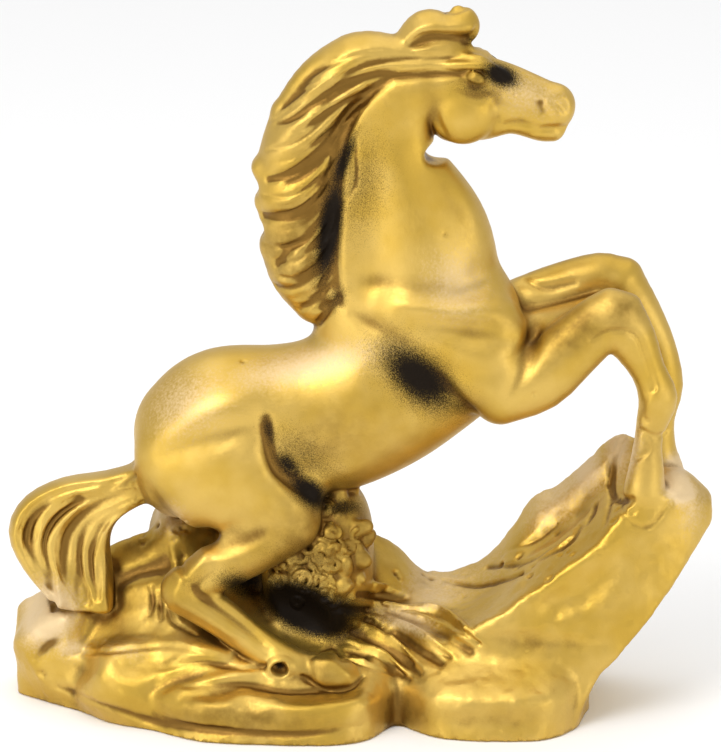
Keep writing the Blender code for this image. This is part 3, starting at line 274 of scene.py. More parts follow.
def smooth_path(points, steps):
    """A Catmull-Rom curve through rows of numbers, with so many steps between each two."""
    rows = np.array(points, float)
    if steps < 2 or len(rows) < 3:
        return rows
    before = np.vstack([2 * rows[0] - rows[1], rows[:-1]])
    after = np.vstack([rows[1:], 2 * rows[-1] - rows[-2]])
    tangent = (after - before) / 2
    path = []
    for i in range(len(rows) - 1):
        for t in np.arange(steps) / steps:
            path.append(
                (2 * t**3 - 3 * t**2 + 1) * rows[i]
                + (t**3 - 2 * t**2 + t) * tangent[i]
                + (3 * t**2 - 2 * t**3) * rows[i + 1]
                + (t**3 - t**2) * tangent[i + 1]
            )
    return np.array(path + [rows[-1]])


def both_sides(rows, side):
    """Rows (x, y, z, ...) drawn for the far side, taken to one side."""
    return [(row[0], side * row[1], *row[2:]) for row in rows]


# The plinth in cross sections along X: x, then points (y, z) over the top from the front rim to the back.
PLINTH_SECTIONS = [
    (-52.8, 3, 4.5, 4, 9, 5.5, 12, 7.5, 12, 10, 5),
    (-49, 0, 4.5, 2, 9.5, 4.5, 13.6, 8.5, 13.6, 14, 7),
    (-39, -8, 4.5, -6.5, 8, -4, 9.5, 6, 22, 17, 7),
    (-31, -14, 4, -11, 7, -8.5, 10, 6, 24, 19, 7),
    (-24, -19, 4.2, -15, 6.5, -12, 10.5, 2, 18, 20, 6),
    (-14, -20.5, 4, -16, 6.5, -13, 8, 0, 15, 20, 7),
    (-4, -20.5, 4.6, -17, 5, -12, 7.5, 0, 13, 20, 6),
    (1.5, -18, 4.8, -14, 6.5, -10, 8.5, 0, 12.5, 19, 5),
    (5.5, -11.5, 4.2, -9.5, 7.5, -7, 9.5, 0, 13, 18, 5),
    (12, -17.5, 4.8, -11.5, 9.2, -8, 11.0, 0, 13, 18, 6),
    (26, -18.5, 5, -11.5, 10.2, -8, 12.0, 0, 13, 17, 6),
    (32, -13.5, 4.8, -9.5, 9.0, -6, 11, 0, 11, 12, 5),
    (35, -4, 4, -3, 5, 0, 7, 3, 7, 6, 4),
]

# The ramp in cross sections along X: x, points (y, z) over its top, and the height of its underside.
RAMP_SECTIONS = [
    (1.5, -6, 8, 0, 15, 8, 24, -9),
    (5.5, -7, 9, 0, 14.5, 9, 21, -9),
    (9, -9, 10.5, -1, 14.5, 9, 17.2, -9),
    (15, -11, 13, -1, 14.5, 9, 17.4, -9),
    (20.5, -11.5, 16, -1, 17, 9, 20.4, -9),
    (26.5, -10.5, 19.8, -1, 22.5, 9, 29.3, -9),
    (30, -10, 22, -2, 25, 8.5, 31, -9),
    (34.6, -9.3, 25.2, -2, 28.4, 8, 35.6, 4),
    (40, -8, 31.6, -1, 33, 7, 40.0, 10.6),
    (45.4, -7, 33.4, 0, 34.6, 6, 36.6, 17.2),
    (49.8, -5.5, 32.8, 0, 33.8, 4.5, 33.8, 23.6),
    (53.2, -2.5, 31.0, 0, 31.6, 2.5, 31, 28.2),
]

# Crests (negative depth) and hollows over the front of the mound: points (x, y, z, width, depth).
ROCK_FOLDS = [
    [(-47, -1, 6.8, 1.2, -0.3), (-39, -6.5, 8.0, 1.2, -0.9), (-31.6, -8.5, 10.0, 1.3, -1.1),
     (-24, -11.5, 10.7, 1.2, -0.9), (-18.6, -11.2, 9.8, 1.0, -0.2)],
    [(-36, -11.0, 4.6, 1.0, -0.3), (-32, -12.4, 5.8, 1.2, -0.9), (-27.6, -12.4, 8.4, 1.2, -0.9),
     (-24.2, -12.0, 10.0, 1.0, -0.2)],
    [(-32, -14.6, 3.8, 1.0, -0.3), (-27, -15.8, 5.2, 1.2, -0.9), (-20, -14.8, 7.2, 1.2, -1.0),
     (-14.4, -13.0, 8.2, 1.0, -0.6), (-10, -14.2, 7.2, 0.9, -0.2)],
    [(-30, -16.0, 3.2, 1.0, -0.5), (-23, -19.0, 4.2, 1.1, -0.8), (-19, -18.6, 4.8, 1.1, -0.9),
     (-16.6, -17.6, 5.6, 1.1, -0.9), (-9, -20.2, 4.2, 1.1, -0.8), (1.4, -17.8, 4.8, 1.0, -0.6)],
    [(-44, -5.4, 5.6, 1.1, 0.2), (-37, -9.6, 6.0, 1.3, 0.35), (-30.4, -10.2, 8.0, 1.2, 0.3),
     (-26.4, -11.2, 9.0, 1.0, 0.3)],
    [(-31, -13.4, 5.2, 1.0, 0.3), (-25, -13.8, 7.6, 1.3, 0.8), (-19, -13.0, 8.6, 1.1, 0.4)],
    [(-28, -16.4, 4.6, 1.0, 0.3), (-20, -16.6, 6.2, 1.2, 0.7), (-13, -16.4, 6.2, 1.2, 0.7),
     (-6, -16.0, 5.8, 1.1, 0.5), (0, -14.6, 6.4, 0.9, 0.2)],
    [(-40, -11, 0.9, 1.0, 0.3), (-30, -17.0, 0.6, 1.2, 0.7), (-16, -21.2, 0.4, 1.2, 0.7),
     (-4, -21.2, 0.6, 1.0, 0.4)],
    [(11, -18.4, 1.4, 1.2, 0.3), (18, -19.2, 2.2, 1.6, 0.6), (27, -19.4, 1.6, 1.2, 0.3)],
    [(-38, 0.6, 15.4, 1.0, 0.3), (-34.6, 1.6, 18.0, 1.1, 1.2), (-30.0, 1.6, 19.4, 1.1, 1.2)],
]

# The hollow on the ramp's front face and the groove at its foot, in the side view: (x, z, width, depth).
RAMP_FOLDS = [
    [(39.0, 24.4, 1.2, 0.15), (36.6, 21.6, 1.5, 0.6), (33.6, 18.6, 1.8, 0.9), (30.0, 17.4, 1.8, 0.8),
     (26.0, 16.6, 1.4, 0.3)],
    [(34.6, 22.6, 2.0, 0.3), (32.4, 20.4, 2.4, 0.5), (29.4, 18.8, 2.0, 0.3)],
    [(37.4, 26.2, 1.2, -0.2), (33.0, 23.6, 1.4, -0.35), (28.0, 20.0, 1.3, -0.25)],
    [(20.0, 12.4, 1.2, 0.2), (26.0, 12.0, 1.5, 0.5), (33.0, 11.2, 1.3, 0.3)],
]


def crag(clay, sections, flare, blend):
    """Rock through cross sections. Its front and back faces lean out by flare downwards."""
    rows = np.array(sections, float)
    if rows.shape[1] % 2:
        rows = np.column_stack([rows, np.full(len(rows), ROCK_FOOT)])
    rows = smooth_path(rows, 4)
    rows[:, 0] *= STRETCH_X
    rows[:, 1:-1:2] *= STRETCH_Y
    low = (rows[0, 0] - 2, rows[:, 1].min() - 8, UNDERSIDE_Z - GRID_MARGIN)
    high = (rows[-1, 0] + 2, rows[:, -3].max() + 8, rows[:, 2:-1:2].max() + 2)
    slices, x, y, z = clay.window(low, high)
    here = [np.interp(x[:, 0, 0], rows[:, 0], column)[:, None, None] for column in rows[:, 1:].T]
    depths, heights, under = here[0:-1:2], here[1:-1:2], here[-1]
    top = heights[0]
    for i in range(len(depths) - 1):
        share = np.clip((y - depths[i]) / (depths[i + 1] - depths[i]), 0, 1)
        top = top + share * (heights[i + 1] - heights[i])
    distance = np.maximum(0.75 * (z - top), 0.75 * (under - z))
    distance = np.maximum(distance, depths[0] - flare * (heights[0] - z) - y)
    distance = np.maximum(distance, y - depths[-1] - flare * (heights[-1] - z))
    distance = np.maximum(distance, np.maximum(rows[0, 0] - x, x - rows[-1, 0]))
    clay.join(slices, distance.astype(np.float32), blend)


# The flat faces that a boulder is cut to, and the blend that joins it.
BOULDER_FACES = 16
BOULDER_BLEND = 0.8


def boulder(clay, centre, radii, seed):
    """A rock with flat faces that touch an ellipsoid, turned at random."""
    spread = np.random.default_rng(seed)
    normals = spread.normal(size=(BOULDER_FACES, 3))
    normals /= np.linalg.norm(normals, axis=1)[:, None]
    centre, radii = np.array(centre, float), np.array(radii, float)
    reach = radii * 1.5 + BOULDER_BLEND + 1
    slices, x, y, z = clay.window(centre - reach, centre + reach)
    distance = ellipsoid_distance((x - centre[0], y - centre[1], z - centre[2]), radii * 1.3)
    for normal in normals:
        across = (x - centre[0]) * normal[0] + (y - centre[1]) * normal[1] + (z - centre[2]) * normal[2]
        distance = np.maximum(distance, across - np.linalg.norm(radii * normal))
    clay.join(slices, distance.astype(np.float32), BOULDER_BLEND)


def plinth(clay):
    """The rock slab and the mound that the horse crouches on."""
    crag(clay, PLINTH_SECTIONS, 0.12, 1.0)
    for centre, radii, seed in (
        ((-45, 4, 6), (7.5, 8, 9), 3),
        ((-35, 5, 10), (7, 6, 7.5), 5),
        ((-21, 9, 16), (8, 6, 9), 6),
        ((-26.6, 8.6, 21.6), (5.4, 5.0, 8.2), 14),
        ((-33, -7, 3), (9, 7, 6), 8),
        ((-20, 12, 8), (12, 8, 8), 9),
        ((4, 13, 7), (11, 6, 7), 11),
        ((25, 12, 5), (10, 6, 6), 12),
    ):
        boulder(clay, centre, radii, seed)
    clay.soften(0.6)
    for fold in ROCK_FOLDS:
        clay.press_at(smooth_path(fold, 4))


def ramp(clay):
    """The rock that rises to the right and carries the forefeet, higher at its back."""
    crag(clay, RAMP_SECTIONS, 0.16, 1.0)
    clay.blob((47.2, 0, 30.5), (4.6, 5.5, 4.6), pitch=-30, blend=1.5)
    clay.blob((32, 0.5, 31), (14, 3.4, 3.5), pitch=44, blend=1.5, carve=True)
    clay.soften(0.6)
    for fold in RAMP_FOLDS:
        clay.press(fold, NEAR_SIDE)


def body(clay):
    """Barrel, croup, breast, neck and crest."""
    clay.limb([
        (-24.5, 0, 40.7, 10.2, 9.5), (-20, 0, 42.3, 12, 10.3), (-12, 0, 43.2, 11.5, 9.6),
        (-5, 0, 44, 12, 9.3), (2.5, 0, 47.3, 12, 9.6), (9, 0, 52, 12, 9.3), (14, 0, 55.5, 11.5, 8.6),
    ], steps=5)
    clay.limb([
        (9.0, 0, 58, 12, 8.8), (9.4, 0, 69, 10.9, 7.8), (8.0, 0, 75.5, 9.2, 6.8),
        (6.4, 0, 80.9, 6.6, 5.8), (5.7, 0, 85.5, 5.2, 5.1), (6.2, 0, 90, 4.8, 4.6),
        (7.6, 0, 93.6, 4.4, 4.2),
    ], blend=4, steps=5)
    clay.limb([
        (4, 0, 94, 4, 4), (-0.5, 0, 87, 5, 4.4), (-1.5, 0, 78, 6, 5), (-1.5, 0, 68, 6.5, 6),
        (0, 0, 60, 7, 6.5),
    ], blend=3, steps=5)
    clay.blob((17.6, 0, 58.5), (6.2, 7.5, 8), blend=4)
    clay.soften(0.7)


# Furrows and swellings of the muscles of one side, drawn in the side view: points (x, z, width, depth),
# where a swelling has a negative depth.
MUSCLES = {
    "above the shoulder": [
        (-1.5, 66.4, 1.8, 0.1), (3.0, 66.0, 2.0, 0.5), (7.6, 65.2, 2.2, 0.75), (12.6, 64.6, 2.2, 0.8),
        (17.0, 65.6, 2.0, 0.6), (20.6, 67.4, 1.8, 0.2),
    ],
    "shoulder": [
        (2.0, 63.6, 1.8, -0.1), (9.0, 62.8, 1.8, -0.5), (15.6, 62.2, 1.8, -0.6), (22.4, 62.2, 1.8, -0.3),
    ],
    "under the shoulder": [
        (6.4, 61.4, 1.4, 0.2), (11.0, 60.4, 1.6, 0.6), (16.6, 59.2, 1.8, 0.75), (22.6, 58.6, 1.6, 0.5),
    ],
    "withers": [(-1.0, 61.4, 1.0, 0.2), (2.6, 59.6, 1.2, 0.5), (6.6, 57.6, 1.3, 0.3)],
    "upper arm": [(10.0, 56.6, 2.2, -0.2), (15.0, 55.8, 2.4, -0.5), (20.6, 54.6, 2.4, -0.4)],
    "elbow": [
        (26.4, 59.6, 1.0, 0.2), (25.6, 57.0, 1.3, 0.7), (24.0, 53.4, 1.3, 0.6), (21.8, 49.0, 1.1, 0.25),
    ],
    "girth": [
        (9.8, 53.8, 1.1, 0.2), (11.8, 51.8, 1.1, 0.8), (13.9, 49.4, 1.0, 1.2), (16.4, 46.8, 1.1, 0.9),
    ],
    "flank": [
        (-14.2, 47.6, 2.0, 0.15), (-13.6, 43.6, 2.2, 0.55), (-11.8, 39.4, 2.0, 0.9),
        (-9.0, 35.8, 1.8, 0.9), (-6.2, 32.2, 1.6, 0.4),
    ],
    "hip": [
        (-29.0, 40.6, 1.8, 0.3), (-24.6, 42.6, 2.2, 0.6), (-19.4, 44.0, 2.2, 0.7),
        (-14.6, 44.6, 1.8, 0.4),
    ],
    "stifle": [
        (-13.9, 46.0, 0.9, 0.3), (-13.6, 42.0, 0.9, 0.8), (-12.4, 38.4, 0.9, 0.9),
        (-10.0, 36.0, 1.0, 0.6), (-7.0, 34.0, 0.9, 0.3),
    ],
    "haunch": [(-25.0, 47.0, 2.6, -0.2), (-18.0, 48.6, 3.0, -0.4), (-12.6, 48.2, 2.6, -0.1)],
    "buttock": [
        (-31.4, 34.4, 1.4, 0.3), (-29.2, 30.4, 1.6, 0.9), (-26.0, 27.8, 1.6, 1.2),
        (-21.9, 27.0, 1.7, 1.2), (-17.4, 27.6, 1.6, 0.9), (-14.0, 29.0, 1.4, 0.3),
    ],
    "gullet": [
        (6.4, 86.5, 2.2, 0.3), (9.6, 80.4, 2.8, 0.5), (12.6, 75.2, 3.0, 0.5), (14.4, 70.6, 2.6, 0.2),
    ],
    "windpipe": [(12.0, 84.0, 1.6, -0.1), (15.6, 78.0, 1.8, -0.3), (18.0, 72.4, 1.8, -0.1)],
}


def muscles(clay, side):
    """The hollows and the furrows between the muscles of one side."""
    clay.blob((6.5, side * 12.9, 53.0), (6, 3.4, 6.5), pitch=-35, blend=3.5, carve=True)
    clay.blob((-3.5, side * 12.6, 38.4), (6, 3.2, 3.4), pitch=15, blend=3.0, carve=True)
    for points in MUSCLES.values():
        clay.press(points, side)
    clay.press([(11.2, 91.2, 0.5, 0.1), (11.5, 89.2, 0.7, 0.5), (12.4, 87.6, 0.6, 0.3)], side)


def head(clay):
    """Skull, face, jaw and cheeks, in profile."""
    clay.limb([
        (9.5, 0, 94.6, 4.3, 4.0), (15.0, 0, 95.0, 4.3, 4.1), (20.1, 0, 93.5, 4.5, 3.3),
        (24.6, 0, 91.7, 4.4, 2.8), (27.6, 0, 91.0, 3.8, 2.7), (28.8, 0, 90.4, 3.3, 2.6),
    ], blend=2, steps=5)
    clay.blob((28.7, 0, 91.2), (2.6, 2.7, 3.2), pitch=-25, blend=1.0)
    clay.limb([
        (13.5, 0, 89.5, 3.6, 3.0), (17.9, 0, 88.9, 2.8, 2.4), (22.4, 0, 89.2, 2.1, 2.0),
        (26.6, 0, 88.2, 2.2, 2.1), (28.4, 0, 87.9, 2.0, 1.9),
    ], blend=0.9, steps=5)
    clay.blob((11.6, 0, 84.4), (2.1, 9, 1.5), blend=0.8, carve=True)
    for side in (NEAR_SIDE, FAR_SIDE):
        clay.blob((15.2, side * 2.0, 90.8), (4.8, 2.7, 4.9), blend=0.9)
        brow = [(14.2, 2.9, 98.2, 0.9, 0.9), (17.4, 3.2, 98.4, 1.0, 1.0), (21, 2.5, 95.6, 0.8, 0.8)]
        clay.limb(both_sides(brow, side), 1.2)
        clay.blob((16.8, side * 3.9, 96.2), (1.6, 0.8, 0.9), pitch=-25, blend=0.3)
        clay.stroke([(14.8, 96.8, 0.15), (16.6, 97.5, 0.35), (18.9, 96.2, 0.2)], side, blend=0.3)
        clay.stroke([(14.9, 96.0, 0.15), (16.6, 94.9, 0.35), (18.7, 95.0, 0.15)], side, blend=0.3)
        clay.press([(14.0, 94.6, 0.8, 0.2), (17.0, 93.6, 1.0, 0.5), (20.4, 93.8, 0.8, 0.3)], side)
        clay.stroke([(20.5, 92.4, 1.2), (24.5, 90.8, 1.6), (27.5, 90.6, 1.0)], side, sink=-0.85, blend=1.0)
        clay.press([(28.4, 92.6, 0.5, 0.3), (29.6, 91.9, 0.6, 0.9), (30.2, 90.9, 0.5, 0.4)], side)
        clay.press([(21.4, 88.8, 0.5, 0.3), (23.6, 89.2, 0.6, 0.7), (25.8, 88.6, 0.5, 0.4)], side)
        clay.press([(25.6, 87.6, 0.4, 0.2), (27.4, 88.2, 0.5, 0.7), (30.8, 88.0, 0.5, 0.9)], side)
        clay.press([(24.2, 93.2, 0.5, 0.2), (26.0, 92.2, 0.6, 0.4), (27.0, 91.0, 0.5, 0.2)], side)


def forelock(clay):
    """The hair swept over the poll and folded up into a curl above the forehead."""
    clay.limb([
        (-1, 0, 98.6, 3, 3.6), (6, 0, 98.8, 2.6, 3.6), (12, 0, 99.2, 1.9, 3.4),
        (18.2, 0, 98.6, 0.9, 2.4),
    ], 1.0)
    clay.limb([
        (6.4, 0, 100.4, 1.8, 2.6), (9.6, 0, 102.6, 2.9, 2.9), (12.6, 0, 102.4, 2.7, 2.8),
        (14.9, 0, 103.4, 2.9, 2.6),
    ], blend=0.8, steps=5)
    for side in (NEAR_SIDE, FAR_SIDE):
        for fold in FORELOCK_FOLDS:
            clay.press(fold, side)


# Folds over the poll and round the curl, in the side view: points (x, z, width, depth).
FORELOCK_FOLDS = [
    [(7.0, 102.0, 0.6, -0.2), (9.4, 103.4, 0.7, -0.6), (13.0, 103.6, 0.8, -0.7), (16.0, 103.4, 0.7, -0.5)],
    [(7.4, 100.8, 0.6, 0.3), (9.6, 102.0, 0.7, 0.9), (12.4, 102.0, 0.7, 1.0), (15.6, 101.6, 0.7, 0.9)],
    [(15.6, 101.6, 0.7, 0.8), (16.8, 102.6, 0.6, 0.5)],
    [(12.6, 105.4, 0.5, 0.3), (14.2, 105.8, 0.6, 1.0), (15.8, 106.2, 0.5, 0.4)],
    [(8.6, 100.0, 0.6, -0.2), (12.0, 100.6, 0.7, -0.6), (16.2, 100.2, 0.6, -0.3)],
    [(5.0, 99.0, 0.5, 0.2), (10.0, 99.0, 0.6, 0.7), (15.6, 99.0, 0.6, 0.7), (18.8, 98.6, 0.4, 0.2)],
    [(6.0, 97.4, 0.6, -0.2), (12.0, 98.0, 0.7, -0.6), (18.0, 98.0, 0.6, -0.6), (21.0, 97.0, 0.5, -0.2)],
    [(4.0, 96.2, 0.6, 0.2), (10.0, 96.6, 0.6, 0.7), (16.0, 96.8, 0.5, 0.5)],
]


# Creases (positive depth) and raised locks of the mane, in the side view: points (x, z, width, depth).
MANE_FOLDS = [
    [(5.0, 97.2, 0.5, 0.3), (2.1, 96.6, 0.7, 0.9), (-1.2, 95.5, 0.8, 1.2), (-5.1, 93.9, 0.7, 1.0),
     (-9.7, 90.3, 0.6, 0.8), (-12.3, 89.2, 0.5, 0.3)],
    [(4.0, 98.8, 0.6, 0.3), (0.8, 98.2, 0.8, 0.8), (-1.5, 97.0, 0.8, 0.8), (-3.4, 95.2, 0.5, 0.3)],
    [(2.1, 94.4, 0.4, 0.3), (-3.1, 92.1, 0.5, 0.7), (-5.5, 90.7, 0.5, 0.7), (-9.7, 87.7, 0.4, 0.3)],
    [(-2.2, 90.7, 0.4, 0.3), (-4.9, 88.0, 0.5, 0.6), (-7.0, 86.4, 0.4, 0.3)],
    [(0.7, 92.5, 0.6, 0.5), (-1.9, 91.0, 0.8, 1.1), (-3.5, 88.0, 0.8, 1.2), (-5.4, 85.9, 0.8, 1.2),
     (-7.8, 83.9, 0.7, 1.2), (-10.5, 82.0, 0.6, 1.1), (-13.6, 80.9, 0.5, 0.7)],
    [(-5.2, 83.5, 0.5, 0.3), (-8.2, 81.7, 0.5, 0.6), (-10.9, 80.3, 0.5, 0.3)],
    [(-4.2, 79.8, 0.5, 0.4), (-8.2, 76.9, 0.7, 0.8), (-11.8, 75.7, 0.7, 1.0), (-14.4, 75.2, 0.6, 0.8)],
    [(-4.6, 77.2, 0.5, 0.4), (-7.3, 74.8, 0.5, 0.6), (-9.6, 73.2, 0.5, 0.3)],
    [(-4.4, 75.9, 0.6, 0.5), (-7.9, 72.8, 0.7, 1.0), (-10.3, 71.1, 0.7, 1.0), (-12.4, 68.1, 0.6, 0.7)],
    [(-4.6, 73.3, 0.4, 0.3), (-7.5, 70.6, 0.5, 0.6), (-9.6, 68.6, 0.4, 0.3)],
    [(-4.4, 69.9, 0.6, 0.5), (-7.2, 66.4, 0.7, 0.9), (-10.0, 64.7, 0.6, 0.9), (-12.6, 64.3, 0.5, 0.6)],
    [(-6.4, 67.9, 0.4, 0.3), (-9.1, 66.3, 0.5, 0.6), (-11.7, 66.3, 0.4, 0.4)],
    [(-4.1, 65.5, 0.5, 0.5), (-7.0, 62.9, 0.6, 0.9), (-9.1, 61.0, 0.5, 0.6)],
    [(-3.1, 63.5, 0.5, 0.5), (-4.9, 61.1, 0.5, 0.9), (-6.2, 59.2, 0.5, 0.6)],
    [(-4.0, 98.8, 1.0, 0.2), (-7.4, 96.4, 1.3, 0.9), (-10.2, 93.2, 1.2, 0.9), (-12.2, 91.0, 0.8, 0.2)],
    [(1.4, 99.6, 1.6, -0.2), (-3.6, 97.4, 1.6, -0.5), (-7.0, 94.6, 1.5, -0.4)],
    [(-6.5, 91.5, 1.6, -0.3), (-9.5, 88.2, 1.7, -0.6), (-13.0, 85.4, 1.6, -0.4)],
    [(-7.0, 79.6, 1.5, -0.3), (-11.0, 78.2, 1.6, -0.5), (-14.0, 77.8, 1.5, -0.3)],
    [(-6.6, 70.6, 1.3, -0.2), (-9.0, 68.4, 1.4, -0.5), (-11.6, 66.0, 1.3, -0.3)],
]

# Tips and notches of the mane's outline: points (x, z, width, depth) in the middle plane.
MANE_OUTLINE = [
    (-15.4, 82.2, 1.3, -1.1), (-15.4, 79.0, 0.8, 0.9), (-15.0, 76.8, 1.1, -0.6), (-14.6, 72.8, 0.9, 1.0),
    (-14.2, 70.0, 1.4, -0.5), (-12.6, 91.0, 1.2, -0.4),
]

# The crease where the mane's front edge overhangs the neck, in the side view: (x, z, width, depth).
MANE_EDGE = [
    (4.0, 95.6, 0.7, 0.3), (-0.6, 92.0, 0.8, 0.8), (-2.6, 86.4, 0.9, 1.1), (-3.6, 79.6, 1.0, 1.4),
    (-4.0, 73.6, 1.0, 1.3), (-3.9, 67.6, 0.9, 0.9), (-3.0, 62.6, 0.8, 0.5),
]


def mane(clay):
    """The mass of hair behind the neck, parted into locks by creases."""
    clay.limb([
        (8.5, 0, 98.0, 2.4, 3.4), (5.0, 0, 98.0, 3.5, 3.8), (0.4, 0, 97.4, 4.9, 4.6),
        (-4.4, 0, 93.8, 5.5, 5.0), (-7.4, 0, 87.8, 6.2, 5.2), (-8.9, 0, 80.9, 6.5, 5.4),
        (-8.8, 0, 73.9, 6.1, 5.6), (-8.3, 0, 67.5, 5.7, 5.4), (-6.2, 0, 62.4, 4.2, 4.6),
    ], blend=0.6, steps=5)
    for side in (NEAR_SIDE, FAR_SIDE):
        clay.press(MANE_EDGE, side)
        for fold in MANE_FOLDS:
            clay.press(fold, side)
    for x, z, width, depth in MANE_OUTLINE:
        clay.press_at([(x, -width, z, width, depth), (x, width, z, width, depth)])


def forelegs(clay):
    """Both forelegs: shoulders, arms, knees and cannons."""
    for side in (NEAR_SIDE, FAR_SIDE):
        clay.limb(
            both_sides([(7, 4.5, 62, 6, 4.5), (14, 5, 59, 6.5, 4.5), (19.8, 5, 57.2, 5.2, 4.3)], side),
            blend=2.5,
        )
    clay.limb([(19.5, -5, 57.5, 5.2, 4.4), (18, -6.2, 51, 6, 4.6)], blend=2)
    clay.limb([
        (20.5, -6.4, 49.6, 5.3, 4.5), (26.3, -6.4, 51.6, 5.2, 4.2), (31.0, -6.2, 55.6, 4.7, 3.6),
        (35.0, -6, 59.2, 4.4, 3.2), (37.8, -6, 60.6, 4.6, 3.3),
    ], blend=1.2)
    clay.limb([
        (37.8, -6, 60.6, 4.5, 3.3), (40.4, -6, 57.0, 3.6, 2.8), (42.8, -5.8, 52.3, 2.6, 2.3),
        (44.3, -5.6, 48.2, 2.9, 2.6), (43.6, -5.4, 44.6, 2.4, 2.2), (43.0, -5.2, 41.2, 2.1, 2.0),
        (42.8, -5, 36.6, 2.7, 2.6), (42.6, -5, 33.5, 3.2, 3.0),
    ], blend=0.8)
    clay.limb([
        (20.5, 5, 56.5, 5.0, 4.0), (25.4, 5.4, 60.0, 4.2, 3.8), (30.6, 5.5, 62.4, 3.8, 3.4),
        (35.9, 5.5, 64.0, 3.6, 3.3), (39, 5.5, 63.1, 3.9, 3.3),
    ], blend=1.2)
    clay.limb([
        (39, 5.5, 63.1, 3.9, 3.3), (42.3, 5.5, 58.8, 3.0, 2.7), (45.2, 5.3, 53.4, 2.4, 2.2),
        (46.1, 5.2, 47.3, 2.8, 2.5), (45.5, 5, 42, 2.2, 2.1), (45.6, 5, 37.4, 2.4, 2.3),
        (46.1, 5, 34.3, 3.0, 2.8),
    ], blend=0.8)
    clay.limb([(24, 0, 56.5, 3, 5), (31, 0, 58.6, 2.5, 5), (36, 0, 60.5, 2, 5)], blend=1.5)
    clay.stroke([
        (34, 58, 0.2), (36.8, 59.4, 0.35), (40.4, 58.8, 0.35), (42, 55.6, 0.35), (43.6, 50, 0.3),
    ], NEAR_SIDE)


def hindlegs(clay):
    """Both hind legs: thighs, hocks, shanks and hooves, and the near one's ringed hole."""
    for side in (NEAR_SIDE, FAR_SIDE):
        clay.limb(
            both_sides([
                (-23, 4.2, 43, 10, 6), (-19, 5.4, 37.2, 10.8, 6.3), (-11.5, 6.4, 32, 7.2, 5.4),
            ], side),
            blend=2.5,
        )
        clay.blob((-27, side * 4.2, 35.5), (6, 5, 7.5), pitch=30, blend=2.5)
    clay.limb([
        (-10.7, -7.0, 30, 5.4, 4.6), (-17.5, -7.8, 25.4, 4.7, 3.9), (-23.0, -8.6, 21.6, 3.6, 3.2),
        (-26.6, -8.8, 19, 3.5, 3.0),
    ], blend=1.2)
    clay.limb([
        (-26.6, -8.8, 19, 3.4, 3.0), (-21.2, -9.6, 15.4, 3.0, 2.6), (-16.7, -10.4, 12.1, 2.7, 2.4),
        (-12.2, -11.2, 9.0, 3.0, 2.8), (-8.4, -11.8, 7.8, 2.5, 2.5), (-5.2, -12.2, 7.4, 2.7, 2.9),
    ], blend=0.8)
    clay.blob((-4.4, -12.2, 6.8), (4.6, 3.2, 3.2), pitch=-16, blend=0.8)
    clay.press([(-8.0, 9.8, 0.7, 0.2), (-7.6, 7.6, 0.8, 0.45), (-8.2, 5.4, 0.7, 0.3)], NEAR_SIDE)
    clay.press([(-6.6, 9.6, 0.6, -0.3), (-4.2, 9.4, 0.7, -0.5), (-1.8, 7.6, 0.6, -0.3)], NEAR_SIDE)
    clay.limb([
        (-11, 7, 30, 5.4, 4.6), (-19.5, 7.4, 28.6, 4.7, 3.9), (-24.4, 7.6, 27.6, 3.6, 3.3),
        (-26.6, 7.6, 24.4, 3.3, 3.1), (-26.5, 8.4, 17.5, 2.9, 2.6), (-19, 9.4, 12, 2.8, 2.6),
        (-14, 10, 9, 3.0, 2.9), (-9, 10.6, 7.4, 2.8, 2.9),
    ], blend=1.2)
    clay.press([
        (-22.5, 26.2, 0.8, -0.3), (-24.1, 23.6, 0.9, -0.6), (-26.4, 21.2, 0.9, -0.6),
        (-27.2, 18.6, 0.9, -0.5), (-24.1, 16.6, 0.8, -0.5), (-18.9, 13.2, 0.7, -0.3),
    ], NEAR_SIDE)
    clay.press([
        (-21.5, 23.4, 0.8, 0.3), (-24.4, 20.4, 0.8, 0.6), (-22.5, 18.0, 0.7, 0.6),
        (-17.3, 14.4, 0.7, 0.6), (-13.6, 11.4, 0.6, 0.3),
    ], NEAR_SIDE)
    ergot = clay.skin(-12, 8.4, NEAR_SIDE) or -13.5
    clay.blob((-12, ergot + 0.3, 8.4), (2.3, 1.2, 2.0), blend=0.5)
    clay.blob((-12, ergot - 0.9, 8.4), (1.35, 1.8, 1.15), blend=0.3, carve=True)


# The tail's upper and lower contours in the side view, from its root to its end: points (x, z).
TAIL_TOP = [
    (-32.6, 36.2), (-38.5, 34.6), (-45.4, 33.4), (-50.6, 30.6), (-52.8, 26.4), (-51, 21.2),
    (-46.6, 15.4),
]
TAIL_FOOT = [
    (-32.4, 31.4), (-36.3, 28.6), (-38.0, 25.6), (-38.4, 22.4), (-38.0, 19.6), (-37.8, 17.0),
    (-37.6, 14.4),
]
TAIL_LOCKS = 6

